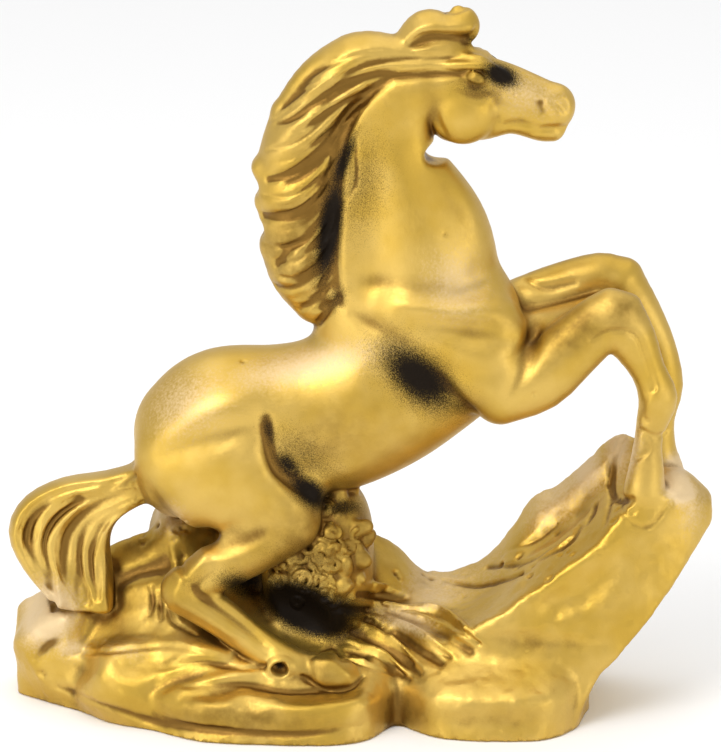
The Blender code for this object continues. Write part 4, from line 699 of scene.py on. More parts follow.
# Grooves between the tail's locks, in the side view: points (x, z, width, depth).
TAIL_FOLDS = [
    [(-33.8, 35.8, 0.5, 0.6), (-36.5, 34.4, 0.6, 1.0), (-39.2, 32.3, 0.7, 1.1), (-42.3, 31.3, 0.8, 0.9)],
    [(-42.3, 31.5, 0.7, 0.8), (-45.8, 28.4, 0.9, 1.6), (-46.9, 24.3, 0.9, 1.8), (-46.9, 18.3, 0.8, 1.2)],
    [(-37.7, 31.6, 0.5, 0.6), (-41.2, 29.2, 0.7, 1.4), (-43.7, 25.9, 0.9, 1.8), (-44.6, 21.9, 0.9, 1.8),
     (-43.8, 15.0, 0.7, 1.0)],
    [(-36.9, 29.6, 0.5, 0.6), (-40.4, 26.8, 0.7, 1.5), (-42.0, 23.1, 0.8, 1.8), (-42.8, 19.1, 0.8, 1.6),
     (-42.4, 15.0, 0.6, 0.8)],
    [(-38.9, 27.1, 0.5, 0.5), (-40.4, 23.9, 0.7, 1.2), (-41.2, 19.8, 0.7, 1.3), (-41.4, 15.8, 0.6, 0.8)],
    [(-38.4, 25.9, 0.4, 0.4), (-39.2, 22.3, 0.6, 1.0), (-39.8, 16.6, 0.5, 0.8)],
    [(-47.5, 30.9, 0.8, 0.3), (-49.8, 28.9, 1.0, 0.8), (-50.2, 25.6, 1.0, 0.6)],
]


def tail(clay):
    """A fan of locks between two contours."""
    top, foot = np.array(TAIL_TOP), np.array(TAIL_FOOT)
    gap = np.linalg.norm(top - foot, axis=1) / TAIL_LOCKS
    depth = np.linspace(2.6, 4.2, len(gap))
    for i in range(TAIL_LOCKS):
        share = (i + 0.5) / TAIL_LOCKS
        line = top * (1 - share) + foot * share
        sway = 0.6 * np.sin(2.4 * i)
        clay.limb([(x, sway, z, g * 0.62, d) for (x, z), g, d in zip(line, gap, depth)], blend=2.0)
    for side in (NEAR_SIDE, FAR_SIDE):
        for fold in TAIL_FOLDS:
            clay.press(fold, side)


# Blades of grass in the plane that is seen: root, middle and tip (x, level), and half the width.
GRASS = [
    ((-1.7, 17.4), (2.9, 16.6), (6.1, 15.9), 0.9),
    ((-3.2, 14.7), (1.4, 14.2), (5.8, 12.8), 0.9),
    ((-3.2, 13.1), (0.2, 12.3), (3.6, 10.9), 0.8),
    ((3.6, 14.0), (12.0, 12.8), (19.5, 7.9), 1.25),
    ((2.1, 12.3), (9.0, 9.3), (15.1, 5.8), 1.25),
    ((-0.9, 11.2), (4.7, 8.4), (9.7, 4.6), 1.2),
    ((-1.7, 8.4), (3.6, 6.0), (8.2, 2.8), 1.1),
    ((-2.4, 6.0), (2.1, 4.9), (6.7, 3.0), 0.9),
]

# Gaps between the blades in the same plane: points (x, level, width, depth).
GRASS_GAPS = [
    [(2.5, 15.6, 0.6, 0.3), (8.0, 14.6, 0.8, 1.0), (14.5, 12.4, 0.6, 0.4)],
    [(4.0, 13.0, 0.4, 0.3), (10.0, 11.0, 0.7, 1.3), (16.4, 7.4, 0.6, 0.9)],
    [(1.0, 11.6, 0.4, 0.4), (6.6, 8.9, 0.7, 1.2), (12.0, 5.4, 0.6, 0.7)],
    [(-1.2, 9.9, 0.4, 0.4), (4.2, 7.2, 0.6, 1.1), (8.8, 3.8, 0.5, 0.6)],
    [(-2.0, 7.2, 0.4, 0.4), (3.0, 5.5, 0.6, 0.9), (7.4, 2.9, 0.5, 0.4)],
    [(-2.0, 16.0, 0.5, 0.4), (2.6, 15.4, 0.6, 1.0), (6.2, 14.4, 0.4, 0.3)],
    [(-3.0, 13.9, 0.4, 0.4), (1.2, 13.2, 0.5, 0.9), (4.6, 11.9, 0.4, 0.3)],
]


def grass(clay):
    """Pointed blades that fan over the rock in front of the thicket."""
    for root, middle, tip, width in GRASS:
        rows = []
        for x, level, half in smooth_path([(*root, 0.5 * width), (*middle, width), (*tip, 0.15)], 6):
            x, y, z = clay.seen(x, level)
            rows.append((x, y + 0.3 * half, z, half, 0.8 * half))
        clay.limb(rows, 0.3, 1)
    for gap in GRASS_GAPS:
        engrave(clay, gap)


# How many small lumps of foliage the thicket has.
CURLS = 40


def thicket(clay):
    """The curly undergrowth that holds up the belly, hollowed out behind the near hind leg."""
    clay.blob((-6.5, 0, 20), (8.5, 9, 13), blend=2)
    clay.blob((-3.2, 1, 26), (4.9, 7.5, 7.6), blend=2)
    clay.blob((1.6, 7, 13.6), (6.4, 6.6, 7.4), blend=3)
    spread = np.random.default_rng(7)
    for _ in range(CURLS):
        x, z = spread.uniform(-13, 2.6), spread.uniform(17, 34)
        y = clay.skin(x, z, NEAR_SIDE)
        if y is not None and y < 0:
            size = spread.uniform(0.9, 1.5)
            clay.blob((x, y + 0.4, z), (size, size * 0.8, size), blend=0.5)
    clay.blob((-10.0, -10.5, 14.6), (7.5, 6, 4.6), pitch=-32, blend=1, carve=True)


def engrave(clay, line):
    """A fine groove, or a crest, through points (x, level, width, depth) of the photograph's plane."""
    rows = [(*clay.seen(x, level), width, depth) for x, level, width, depth in smooth_path(line, 4)]
    clay.press_at(rows)


def roughen(clay, spacing, height, seed):
    """Moves the clay's surface in and out by smooth noise of this spacing and height."""
    noise = np.random.default_rng(seed)
    count = clay.field.shape
    coarse = [int(n * clay.voxel / spacing) + 3 for n in count]
    values = noise.normal(size=coarse).astype(np.float32)
    for axis in range(3):
        at = np.arange(count[axis]) * clay.voxel / spacing
        base = at.astype(int)
        part = (at - base).astype(np.float32)
        part = part * part * (3 - 2 * part)
        shape = [1, 1, 1]
        shape[axis] = count[axis]
        part = part.reshape(shape)
        values = np.take(values, base, axis) * (1 - part) + np.take(values, base + 1, axis) * part
    clay.field += height * values


def hair_line(share):
    """The line of hair at a share of the way from the poll to the withers."""
    at = share * (len(HAIR_LINES) - 1)
    lower = min(int(at), len(HAIR_LINES) - 2)
    return HAIR_LINES[lower] + (at - lower) * (HAIR_LINES[lower + 1] - HAIR_LINES[lower])


def part_of(line, start, end):
    """Points (x, z) along a line, between two shares of its length."""
    at = np.linspace(start, end, STRAND_POINTS) * (len(line) - 1)
    return [np.interp(at, np.arange(len(line)), column) for column in line.T]


def swell(margin):
    """Shares that rise from near 0 to 1 and fall again along a strand."""
    return np.sin(np.linspace(margin, 1 - margin, STRAND_POINTS) * np.pi)


def mane_strands(clay, side):
    """Fine lines of hair over the folds of the mane."""
    spread = np.random.default_rng(21)
    for _ in range(MANE_STRANDS):
        share, start = spread.uniform(0.02, 0.97), spread.uniform(0.05, 0.6)
        end = start + spread.uniform(0.25, 0.5)
        width, depth = spread.uniform(0.28, 0.4), spread.uniform(0.2, 0.5)
        x, z = part_of(smooth_path(hair_line(share), 4), start, min(end, 1.0))
        thick = swell(0.12)
        clay.press(np.column_stack([x, z, width * thick**0.5, depth * thick]), side, 1)


def tail_strands(clay, side):
    """Fine lines of hair over the locks of the tail."""
    spread = np.random.default_rng(22)
    top, foot = np.array(TAIL_TOP), np.array(TAIL_FOOT)
    for _ in range(TAIL_STRANDS):
        share, start = spread.uniform(0.04, 0.96), spread.uniform(0, 0.5)
        line = smooth_path(top * (1 - share) + foot * share, 4)
        x, z = part_of(line, start, min(start + spread.uniform(0.3, 0.6), 0.97))
        depth = spread.uniform(0.2, 0.45) * swell(0.1)
        clay.press(np.column_stack([x, z, np.full(STRAND_POINTS, 0.35), depth]), side, 1)


def curls(clay):
    """Small scrolls of foliage all over the thicket."""
    spread = np.random.default_rng(24)
    for _ in range(SCROLLS):
        x, level = spread.uniform(-19, 2.4), spread.uniform(14.5, 31)
        size, first = spread.uniform(0.9, 1.6), spread.uniform(0, 2 * np.pi)
        if not facing_thicket(clay, x, level):
            continue
        whole_turn = spread.uniform(1.2, 1.9) * 2 * np.pi
        turn = np.linspace(0, whole_turn, SCROLL_POINTS) * spread.choice((-1, 1))
        radius = size * np.linspace(1.0, 0.35, SCROLL_POINTS)
        xs, levels = x + radius * np.cos(first + turn), level + radius * np.sin(first + turn)
        rows = []
        for across, up in zip(xs, levels):
            at = clay.seen(across, up)
            if rows and abs(at[1] - rows[-1][1]) > SCROLL_JUMP:
                break
            rows.append((*at, SCROLL_TUBE, SCROLL_TUBE))
        if len(rows) < SCROLL_SHORTEST:
            continue
        clay.press_at([(*row[:3], 0.55, 0.2) for row in rows])
        clay.limb(rows, 0.15, 1)


def facing_thicket(clay, x, level):
    """Whether the foliage is what is seen there: it lies within the thicket's ellipsoids."""
    at = np.array(clay.seen(x, level))
    near = ellipsoid_distance(at - (-6.5, 0, 21.5), (11.5, 12, 14.0))
    return near < 0 and at[2] > 13.5


def fine_rock(clay):
    """Cracks and pits of the rock, drawn where the photograph shows them."""
    for line in ROCK_LINES:
        engrave(clay, line)
    spread = np.random.default_rng(33)
    for x, level, across, up, count in ROCK_PITS:
        for _ in range(count):
            at = clay.seen(x + across * spread.normal(), level + up * spread.normal())
            size = spread.uniform(0.25, 0.45)
            clay.press_at([(*at, size, size * 1.6), (at[0] + 0.5, at[1], at[2] + 0.4, size * 0.7, size)])


def fine_grass(clay):
    """Midribs and fine lines on the blades of grass."""
    for root, middle, tip, width in GRASS:
        for shift in (-0.4, 0.0, 0.4):
            rows = [
                (root[0] + 1, root[1] + shift, 0.3, 0.15),
                (middle[0], middle[1] + shift * width, 0.3, 0.4),
                (tip[0] - 1.6, tip[1] + 0.6 + 0.4 * shift, 0.25, 0.2),
            ]
            engrave(clay, rows)


def fine_horse(clay):
    """Hooves, creases at the joints and small casting flaws."""
    for line in HORSE_LINES:
        engrave(clay, line)
    for x, level, size in PINHOLES:
        at = clay.seen(x, level)
        clay.press_at([(*at, size, 1.5 * size), (at[0] + 0.1, *at[1:], size, 1.5 * size)])


# Lines that the mane's hair follows in the side view, from crest to tip: points (x, z), poll first.
HAIR_LINES = np.array(
    [
        [(17.5, 99.8), (8.9, 100.4), (0, 100.8), (-7.4, 97.2), (-12.0, 91.6)],
        [(15.6, 97.6), (5.9, 97.7), (-1.7, 95.4), (-8.2, 91.1), (-14.2, 87.6)],
        [(5.9, 95.5), (0.6, 93.8), (-3.9, 89.5), (-9.6, 85.2), (-15.4, 83.6)],
        [(1.4, 93), (-1.9, 88.5), (-5.4, 84.0), (-10.0, 80.9), (-15.2, 80.3)],
        [(-1.2, 88.8), (-3.4, 83.1), (-6.2, 78.9), (-10.4, 76.3), (-15.0, 76.2)],
        [(-2.4, 83.0), (-4.1, 77.1), (-6.9, 73.2), (-10.6, 71.2), (-14.6, 71.4)],
        [(-3.2, 75.5), (-4.6, 70.9), (-7.2, 68.0), (-10.6, 66.7), (-14.2, 67.2)],
        [(-3.4, 69), (-4.6, 65.8), (-6.8, 63.7), (-9.6, 62.9), (-12.4, 63.6)],
        [(-2.4, 63.9), (-3.7, 61.8), (-5.2, 60.8), (-7.0, 60.5), (-8.6, 61.0)],
    ]
)

# How many fine lines each side of the mane and of the tail has, and how many points each line has.
MANE_STRANDS = 110
TAIL_STRANDS = 60
STRAND_POINTS = 9

# The thicket's scrolls: how many, the radius of their stems, how many points each has, the jump in depth
# at which one ends, and the fewest points that are kept.
SCROLLS = 90
SCROLL_TUBE = 0.4
SCROLL_POINTS = 20
SCROLL_JUMP = 0.8
SCROLL_SHORTEST = 6

# Cracks and crests of the rock: points (x, level, width, depth) of the photograph's plane.
ROCK_LINES = [
    [(12.8, 17.6, 0.4, 0.2), (17.6, 16.8, 0.45, 0.6), (22.0, 17.9, 0.4, 0.6), (25.6, 19.6, 0.4, 0.3)],
    [(19.6, 19.6, 0.4, 0.3), (24.6, 20.6, 0.5, 0.7), (28.4, 23.0, 0.5, 0.6), (31.8, 25.6, 0.4, 0.3)],
    [(27.0, 21.4, 0.5, 0.5), (31.2, 24.0, 0.7, 1.2), (33.2, 26.6, 0.5, 0.6)],
    [(23.0, 22.6, 0.4, 0.2), (26.6, 24.0, 0.5, 0.5), (29.8, 26.4, 0.4, 0.2)],
    [(34.2, 27.0, 0.4, 0.4), (35.0, 28.4, 0.6, 1.0), (35.8, 30.0, 0.4, 0.3)],
    [(36.6, 26.8, 0.4, 0.3), (38.0, 31.4, 0.5, 0.8), (38.6, 36.4, 0.5, 0.8), (40.4, 41.0, 0.4, 0.3)],
    [(39.0, 29.6, 0.4, 0.5), (40.8, 27.0, 0.4, 0.4), (43.6, 26.8, 0.4, 0.5), (46.2, 30.2, 0.35, 0.4)],
    [(37.6, 33.0, 0.4, 0.4), (38.8, 30.6, 0.5, 0.9), (40.6, 31.0, 0.4, 0.6)],
    [(-44.4, 6.2, 0.5, 0.3), (-36.0, 7.4, 0.5, 0.6), (-28.6, 8.0, 0.5, 0.5), (-22.0, 6.8, 0.4, 0.2)],
    [(-30.0, 4.6, 0.5, 0.3), (-24.0, 5.8, 0.5, 0.7), (-17.6, 4.8, 0.5, 0.6), (-11.0, 5.6, 0.4, 0.2)],
    [(-26.0, 2.0, 0.5, 0.3), (-18.4, 2.6, 0.5, 0.6), (-10.6, 1.2, 0.5, 0.6), (-2.0, 1.8, 0.4, 0.2)],
    [(-46.0, 1.0, 0.5, 0.3), (-38.0, -1.4, 0.5, 0.6), (-29.6, -3.8, 0.6, 0.7), (-20.0, -4.6, 0.5, 0.4)],
    [(-31.0, -2.4, 0.5, 0.3), (-24.0, -4.0, 0.5, 0.6), (-10.0, -5.0, 0.5, 0.5), (0.6, -3.6, 0.4, 0.2)],
    [(-31.8, 16.8, 0.35, 0.3), (-31.4, 14.6, 0.4, 0.8), (-31.8, 12.6, 0.35, 0.3)],
    [(-30.6, 16.0, 0.35, 0.3), (-30.2, 14.0, 0.4, 0.8), (-30.0, 12.0, 0.35, 0.3)],
    [(-29.2, 14.6, 0.35, 0.3), (-28.6, 12.2, 0.4, 0.7), (-27.0, 10.8, 0.4, 0.6), (-24.6, 9.6, 0.35, 0.3)],
    [(-48.6, 18.0, 0.4, 0.4), (-46.4, 15.6, 0.5, 1.0), (-46.6, 13.2, 0.5, 0.6)],
    [(-49.4, 5.6, 0.7, 0.3), (-47.6, 7.6, 0.7, 0.8), (-45.4, 8.8, 0.6, 0.3)],
]

# Pitted spots: x, level, spread across and up, and how many pits.
ROCK_PITS = [
    (30.0, 24.2, 1.8, 1.4, 9), (24.0, 19.4, 2.4, 1.0, 8), (39.0, 28.6, 1.2, 1.2, 6),
    (9.0, 18.6, 2.6, 1.2, 8), (-27.6, 26.4, 1.6, 1.4, 8), (-33.2, 24.0, 0.3, 0.5, 2),
    (-47.8, 3.0, 0.6, 0.6, 2),
]

# Creases and lines on the horse itself, in the same way as those of the rock.
HORSE_LINES = [
    [(-8.6, 3.6, 0.35, 0.4), (-5.0, 1.4, 0.35, 0.7), (-1.6, 1.6, 0.35, 0.6), (0.4, 3.4, 0.3, 0.4)],
    [(-7.2, 6.4, 0.35, 0.2), (-4.2, 7.6, 0.35, 0.45), (-2.6, 6.0, 0.35, 0.4), (-1.2, 6.8, 0.3, 0.2)],
    [(-27.0, 21.6, 0.5, 0.3), (-25.0, 17.2, 0.6, 0.5), (-19.0, 12.6, 0.6, 0.5), (-14.6, 8.6, 0.5, 0.2)],
    [(-28.6, 23.0, 0.6, -0.3), (-27.6, 19.4, 0.6, -0.5), (-24.0, 16.0, 0.6, -0.3)],
    [(42.6, 43.0, 0.5, 0.2), (43.0, 45.6, 0.7, -0.4), (44.4, 48.0, 0.6, -0.2)],
    [(41.4, 41.8, 0.4, 0.3), (44.0, 40.6, 0.5, 0.6), (46.6, 41.6, 0.4, 0.3)],
    [(40.4, 36.6, 0.35, 0.3), (43.0, 38.6, 0.4, 0.5), (42.4, 40.4, 0.35, 0.3)],
    [(38.6, 40.6, 0.4, 0.3), (38.2, 36.4, 0.45, 0.8), (37.8, 32.6, 0.4, 0.5)],
    [(-4.0, 74.8, 0.4, 0.1), (-0.8, 79.0, 0.4, 0.35), (-0.7, 83.6, 0.4, 0.4), (-0.6, 86.4, 0.4, 0.2)],
    [(24.6, 64.8, 0.5, 0.3), (27.8, 63.6, 0.7, 0.8), (32.0, 64.4, 0.6, 0.5)],
    [(17.8, 96.2, 0.3, 0.2), (18.6, 96.9, 0.3, 0.6), (19.6, 96.3, 0.25, 0.3)],
]

# Pinholes left by bubbles in the casting: x, level and size.
PINHOLES = [
    (26.5, 91.6, 0.4), (22.6, 92.6, 0.3), (-17.4, 52.2, 0.3), (25.6, 47.2, 0.3), (12.4, 71.6, 0.22),
    (-31.0, 26.4, 0.5), (35.8, 22.6, 0.25),
]


def sculpt(voxel):
    """The whole casting, horse and rock."""
    low = (-HALF_LENGTH, -HALF_DEPTH, UNDERSIDE_Z - GRID_MARGIN)
    high = (HALF_LENGTH, HALF_DEPTH, GRID_TOP)
    clay = Clay(low, high, voxel)
    body(clay)
    head(clay)
    forelegs(clay)
    hindlegs(clay)
    for side in (NEAR_SIDE, FAR_SIDE):
        muscles(clay, side)
    mane(clay)
    forelock(clay)
    tail(clay)
    for side in (NEAR_SIDE, FAR_SIDE):
        mane_strands(clay, side)
        tail_strands(clay, side)
    rock = Clay(low, high, voxel)
    plinth(rock)
    ramp(rock)
    roughen(rock, 2.6, 0.08, 31)
    roughen(rock, 0.9, 0.045, 32)
    thicket(rock)
    curls(rock)
    grass(rock)
    fine_grass(rock)
    whole = tuple(slice(0, n) for n in clay.field.shape)
    clay.join(whole, rock.field, 0.6)
    fine_rock(clay)
    fine_horse(clay)
    return clay


# Where black was airbrushed on, as ellipses of the photograph's plane: centre (x, level), radii, the turn
# in degrees, and strength.
AIRBRUSH = [
    ((8.6, 49.8), (8.8, 4.6), -42, 1.1),
    ((5.0, 53.0), (7.0, 6.0), -30, 0.5),
    ((14.5, 45.6), (3.6, 2.6), -40, 0.6),
    ((-7.4, 32.0), (4.6, 2.4), -44, 1.15),
    ((-10.6, 36.2), (4.0, 1.8), -52, 0.95),
    ((-13.4, 41.4), (3.6, 1.2), -76, 0.75),
    ((-8.0, 37.6), (9.0, 4.6), -38, 0.5),
    ((-8.0, 13.6), (8.6, 4.2), -24, 1.7),
    ((-17.6, 17.2), (4.6, 2.6), -24, 1.0),
    ((-3.0, 13.6), (6.0, 3.0), -16, 1.0),
    ((-8.4, 21.0), (8.6, 5.4), 0, 0.42),
    ((-2.6, 29.6), (4.0, 1.6), 0, 0.8),
    ((2.0, 12.0), (5.0, 2.6), -20, 0.4),
    ((20.6, 95.6), (3.4, 2.2), -22, 1.2),
    ((17.4, 95.6), (1.8, 0.7), -25, 0.4),
    ((17.2, 93.4), (5.0, 1.6), -10, 0.5),
    ((16.4, 101.0), (1.6, 1.6), 0, 0.6),
    ((-4.4, 72.6), (9.4, 2.1), 81, 1.25),
    ((-2.4, 82.6), (6.4, 1.4), 70, 1.0),
    ((0.4, 79.0), (11.0, 5.4), 80, 0.5),
    ((-3.6, 62.0), (3.0, 2.2), 60, 0.6),
    ((-24.4, 18.0), (4.0, 2.6), 0, 0.3),
    ((-12.0, 5.2), (0.9, 0.8), 0, 1.0),
]

# Where the gold is darkened with brown, in the same way: partly the paint's brown wash, partly painted
# shade over creases, the shoulder, the forearm, the knee and the rim's front.
WASH_AND_SHADE = [
    ((9.6, 63.6), (8.6, 1.6), -6, 0.6),
    ((17.6, 58.2), (6.4, 1.4), -8, 0.45),
    ((3.0, 57.4), (5.0, 1.6), -30, 0.5),
    ((31.4, 57.0), (7.0, 3.2), 35, 1.3),
    ((38.1, 60.0), (4.0, 3.2), 0, 1.0),
    ((-9.0, 84.0), (7.0, 11.0), 0, 0.4),
    ((-9.4, 69.6), (6.0, 8.0), 0, 1.2),
    ((-17.0, -2.4), (14.0, 2.6), -6, 1.0),
    ((-2.6, 25.4), (9.0, 8.0), 0, 1.3),
    ((-6.0, 4.2), (4.0, 3.0), 0, 0.85),
    ((22.0, -2.4), (9.0, 1.8), 0, 0.4),
    ((6.0, 38.4), (9.0, 2.6), 35, 0.35),
    ((-16.6, 21.4), (6.0, 4.0), 20, 0.35),
    ((16.6, 94.8), (2.8, 1.6), -10, 0.9),
    ((33.0, 64.6), (7.0, 1.8), 10, 0.45),
    ((-4.7, 40.6), (9.0, 4.4), 30, 0.65),
    ((-16.0, -1.0), (20.0, 3.0), -8, 0.3),
    ((-31.0, 29.6), (3.6, 4.4), 40, 0.8),
    ((-34.0, 21.0), (5.0, 1.8), 10, 1.0),
    ((9.0, 14.4), (3.4, 1.0), -16, 0.4),
    ((34.4, 29.4), (2.0, 1.0), 50, 0.6),
    ((-7.0, 22.6), (9.6, 8.0), 0, 0.95),
    ((-30.0, 20.6), (6.0, 4.0), 0, 0.7),
    ((-28.0, 14.0), (7.0, 4.0), -30, 0.5),
    ((3.0, 14.0), (6.0, 4.0), -20, 0.3),
    ((7.6, -2.4), (5.0, 2.4), 0, 0.7),
    ((-13.0, 68.0), (3.0, 9.0), 0, 0.45),
    ((-7.0, 62.0), (5.0, 3.0), 0, 0.5),
    ((-4.0, 92.0), (8.0, 5.0), 40, 0.4),
    ((12.0, 100.6), (5.6, 3.0), 0, 0.4),
    ((-36.0, 33.0), (5.0, 2.6), 20, 0.4),
    ((-42.0, 17.0), (5.0, 7.0), -20, 0.35),
    ((-39.0, 10.4), (8.0, 3.6), 0, 0.15),
    ((42.6, 38.0), (2.6, 4.6), -20, 0.5),
    ((16.0, 45.6), (3.6, 2.6), -30, 0.6),
    ((10.6, 92.0), (1.6, 3.6), 20, 0.5),
    ((25.0, 65.0), (4.0, 2.0), 0, 0.5),
    ((0.0, 40.0), (14.0, 4.0), 30, 0.3),
    ((-20.0, -4.6), (26.0, 1.8), -8, 0.5),
    ((24.0, 8.4), (7.0, 2.0), -12, 0.4),
    ((13.6, 76.6), (7.0, 1.3), -60, 0.4),
    ((16.6, 67.5), (4.0, 1.3), -95, 0.35),
    ((-22.4, 25.6), (5.0, 0.9), -14, 0.6),
]

# Pale patches where the gold is thin or chipped, in the same way.
WORN = [
    ((-26.0, 46.0), (9.0, 7.0), 20, 0.42),
    ((-8.0, 51.6), (14.0, 3.6), 12, 0.55),
    ((24.6, 93.0), (8.0, 4.6), -20, 0.38),
    ((14.0, 63.6), (6.0, 7.0), 10, 0.45),
    ((30.0, 29.0), (9.0, 4.0), 45, 0.5),
    ((14.0, 17.0), (9.0, 3.0), 22, 0.7),
    ((50.0, 30.0), (3.0, 6.0), -10, 0.4),
    ((-33.6, 25.0), (4.0, 2.2), -10, 0.9),
    ((47.6, 33.2), (2.4, 2.8), 0, 1.2),
    ((-47.6, 12.6), (6.0, 5.0), 60, 1.0),
    ((-44.0, 7.4), (3.6, 2.4), 0, 0.5),
    ((-28.8, 27.0), (3.6, 4.0), 0, 0.7),
    ((48.4, 32.0), (2.6, 2.4), 0, 1.0),
    ((39.4, 37.6), (2.2, 5.6), -14, 0.8),
    ((34.0, 32.6), (3.4, 4.6), -30, 0.7),
    ((24.6, 65.0), (2.0, 1.4), 0, 0.7),
    ((7.0, 11.6), (6.0, 2.2), -20, 0.6),
    ((-36.0, 7.4), (6.0, 2.0), -12, 0.3),
]

# Where the hollows are painted darker than elsewhere, partly with the paint's brown and partly with
# painted shade, in the same way.
GRIME_AND_SHADE = [
    ((-44.0, 24.0), (8.0, 12.0), 0, 1.0),
    ((-7.0, 80.0), (11.0, 26.0), -10, 1.0),
    ((-6.0, 24.0), (10.0, 10.0), 0, 1.0),
    ((9.0, 7.0), (10.0, 3.0), -20, 0.3),
    ((-31.0, 19.0), (6.0, 4.0), 0, 0.8),
    ((14.0, 100.0), (8.0, 5.0), 0, 0.6),
]

# Where the hollows stay as bright as the rest, in the same way.
CALM = [
    ((33.0, 17.0), (14.0, 7.0), 40, 0.8),
    ((22.0, 3.0), (12.0, 5.0), 0, 0.5),
    ((12.0, 62.0), (12.0, 6.0), 0, 0.6),
    ((-40.0, 9.0), (8.0, 5.0), -10, 0.5),
    ((7.0, 11.0), (7.0, 3.0), -20, 0.5),
]


def sprayed(points, zones):
    """How strongly each drawn point lies in zones of the photograph's plane, mirrored on the far side."""
    amount = np.zeros(len(points), np.float32)
    across, level = points[:, 0], points[:, 2] - VIEW_SLOPE * np.abs(points[:, 1])
    for centre, radii, turn, strength in zones:
        angle = np.radians(turn)
        x, y = across - centre[0], level - centre[1]
        x, y = x * np.cos(angle) + y * np.sin(angle), -x * np.sin(angle) + y * np.cos(angle)
        far = np.hypot(x / radii[0], y / radii[1])
        amount = np.maximum(amount, strength * np.exp(-ZONE_FADE * far * far))
    return np.clip(amount, 0, 1)


def recesses(clay, points):
    """How deep each drawn point lies in a hollow of the carving, which sets the painted shade there: above
    0 in hollows, below 0 on crests.
    """
    coarse = Clay(clay.low, clay.low + 1, clay.voxel * 2)
    coarse.field = np.clip(clay.field[::2, ::2, ::2], -3, 3)
    coarse.soften(1.0)
    return -coarse.sample(points) * (1 - sprayed(points, CALM) + sprayed(points, GRIME_AND_SHADE))


def cast(clay):
    """The clay as a mesh in metres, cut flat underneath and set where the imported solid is."""
    points, quads = clay.mesh()
    rough = bpy.data.meshes.new("casting")
    rough.from_pydata(points.tolist(), [], quads.tolist())
    figure = bpy.data.objects.new("casting", rough)
    bpy.context.scene.collection.objects.link(figure)
    thin = figure.modifiers.new("Decimate", "DECIMATE")
    thin.ratio = min(1.0, TRIANGLES / (2 * len(quads)))
    graph = bpy.context.evaluated_depsgraph_get()
    mesh = bpy.data.meshes.new_from_object(figure.evaluated_get(graph))
    bpy.data.objects.remove(figure)
    shape = bmesh.new()
    shape.from_mesh(mesh)
    everything = shape.verts[:] + shape.edges[:] + shape.faces[:]
    cut_at = (0, 0, UNDERSIDE_Z)
    bmesh.ops.bisect_plane(shape, geom=everything, plane_co=cut_at, plane_no=(0, 0, 1), clear_inner=True)
    bmesh.ops.holes_fill(shape, edges=[edge for edge in shape.edges if edge.is_boundary])
    bmesh.ops.recalc_face_normals(shape, faces=shape.faces)
    shape.to_mesh(mesh)
    shape.free()
    mesh.shade_smooth()
    drawn = np.zeros(len(mesh.vertices) * 3, np.float32)
    mesh.vertices.foreach_get("co", drawn)
    drawn = drawn.reshape(-1, 3)
    # The brown-wash zones also carry painted shade, and the depth of the hollows sets the painted shade in
    # them.
    layers = {
        "airbrush": sprayed(drawn, AIRBRUSH),
        "worn": sprayed(drawn, WORN),
        "wash_and_shade": sprayed(drawn, WASH_AND_SHADE),
        "recess": recesses(clay, drawn),
    }
    for name, values in layers.items():
        layer = mesh.attributes.new(name, "FLOAT", "POINT")
        layer.data.foreach_set("value", values.astype(np.float32))
    low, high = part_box(NODE)
    middle = (drawn.min(axis=0) + drawn.max(axis=0)) / 2
    placed = (drawn - (middle[0], middle[1], UNDERSIDE_Z)) * SCALE
    placed += ((low.x + high.x) / 2, (low.y + high.y) / 2, low.z)
    mesh.vertices.foreach_set("co", placed.astype(np.float32).ravel())
    mesh.update()
    return mesh


class Nodes:
    """Makes and links a material's nodes."""

    def __init__(self, material):
        material.use_nodes = True
        self.tree = material.node_tree
        self.shader = self.tree.nodes["Principled BSDF"]

    def add(self, kind, inputs=(), **settings):
        """A node of this kind, with its settings and its inputs by name or number."""
        node = self.tree.nodes.new("ShaderNode" + kind)
        for name, value in settings.items():
            setattr(node, name, value)
        for name, value in dict(inputs).items():
            self.feed(node.inputs[name], value)
        return node

    def feed(self, socket, value):
        if isinstance(value, bpy.types.NodeSocket):
            self.tree.links.new(value, socket)
        else:
            socket.default_value = value

    def sum_of(self, operation, first, second, clamp=False):
        node = self.add("Math", {0: first, 1: second}, operation=operation, use_clamp=clamp)
        return node.outputs[0]

    def swing(self, value, amount):
        """value less a half, times amount."""
        return self.sum_of("MULTIPLY", self.sum_of("SUBTRACT", value, 0.5), amount)

    def spread(self, value, from_low, from_high, to_low=0.0, to_high=1.0):
        """value taken smoothly from one range to another."""
        inputs = {"Value": value, "From Min": from_low, "From Max": from_high}
        inputs.update({"To Min": to_low, "To Max": to_high})
        return self.add("MapRange", inputs, interpolation_type="SMOOTHSTEP").outputs[0]

    def mix(self, share, first, second):
        """A mix of two colours."""
        node = self.add("Mix", {0: share, 6: first, 7: second}, data_type="RGBA")
        return node.outputs[2]

    def noise(self, scale, detail=3.0, roughness=0.55):
        where = self.add("TexCoord").outputs["Object"]
        inputs = {"Vector": where, "Scale": scale, "Detail": detail, "Roughness": roughness}
        return self.add("TexNoise", inputs).outputs["Fac"]

    def value_of(self, name):
        return self.add("Attribute", attribute_name=name).outputs["Fac"]


GOLD_LIGHT = (0.63, 0.42, 0.100, 1)
GOLD_DEEP = (0.54, 0.34, 0.050, 1)
GOLD_RECESS = (0.20, 0.105, 0.018, 1)
GOLD_WORN = (0.72, 0.55, 0.33, 1)
GOLD_BROWN = (0.25, 0.146, 0.025, 1)
BLACK = (0.014, 0.009, 0.005, 1)


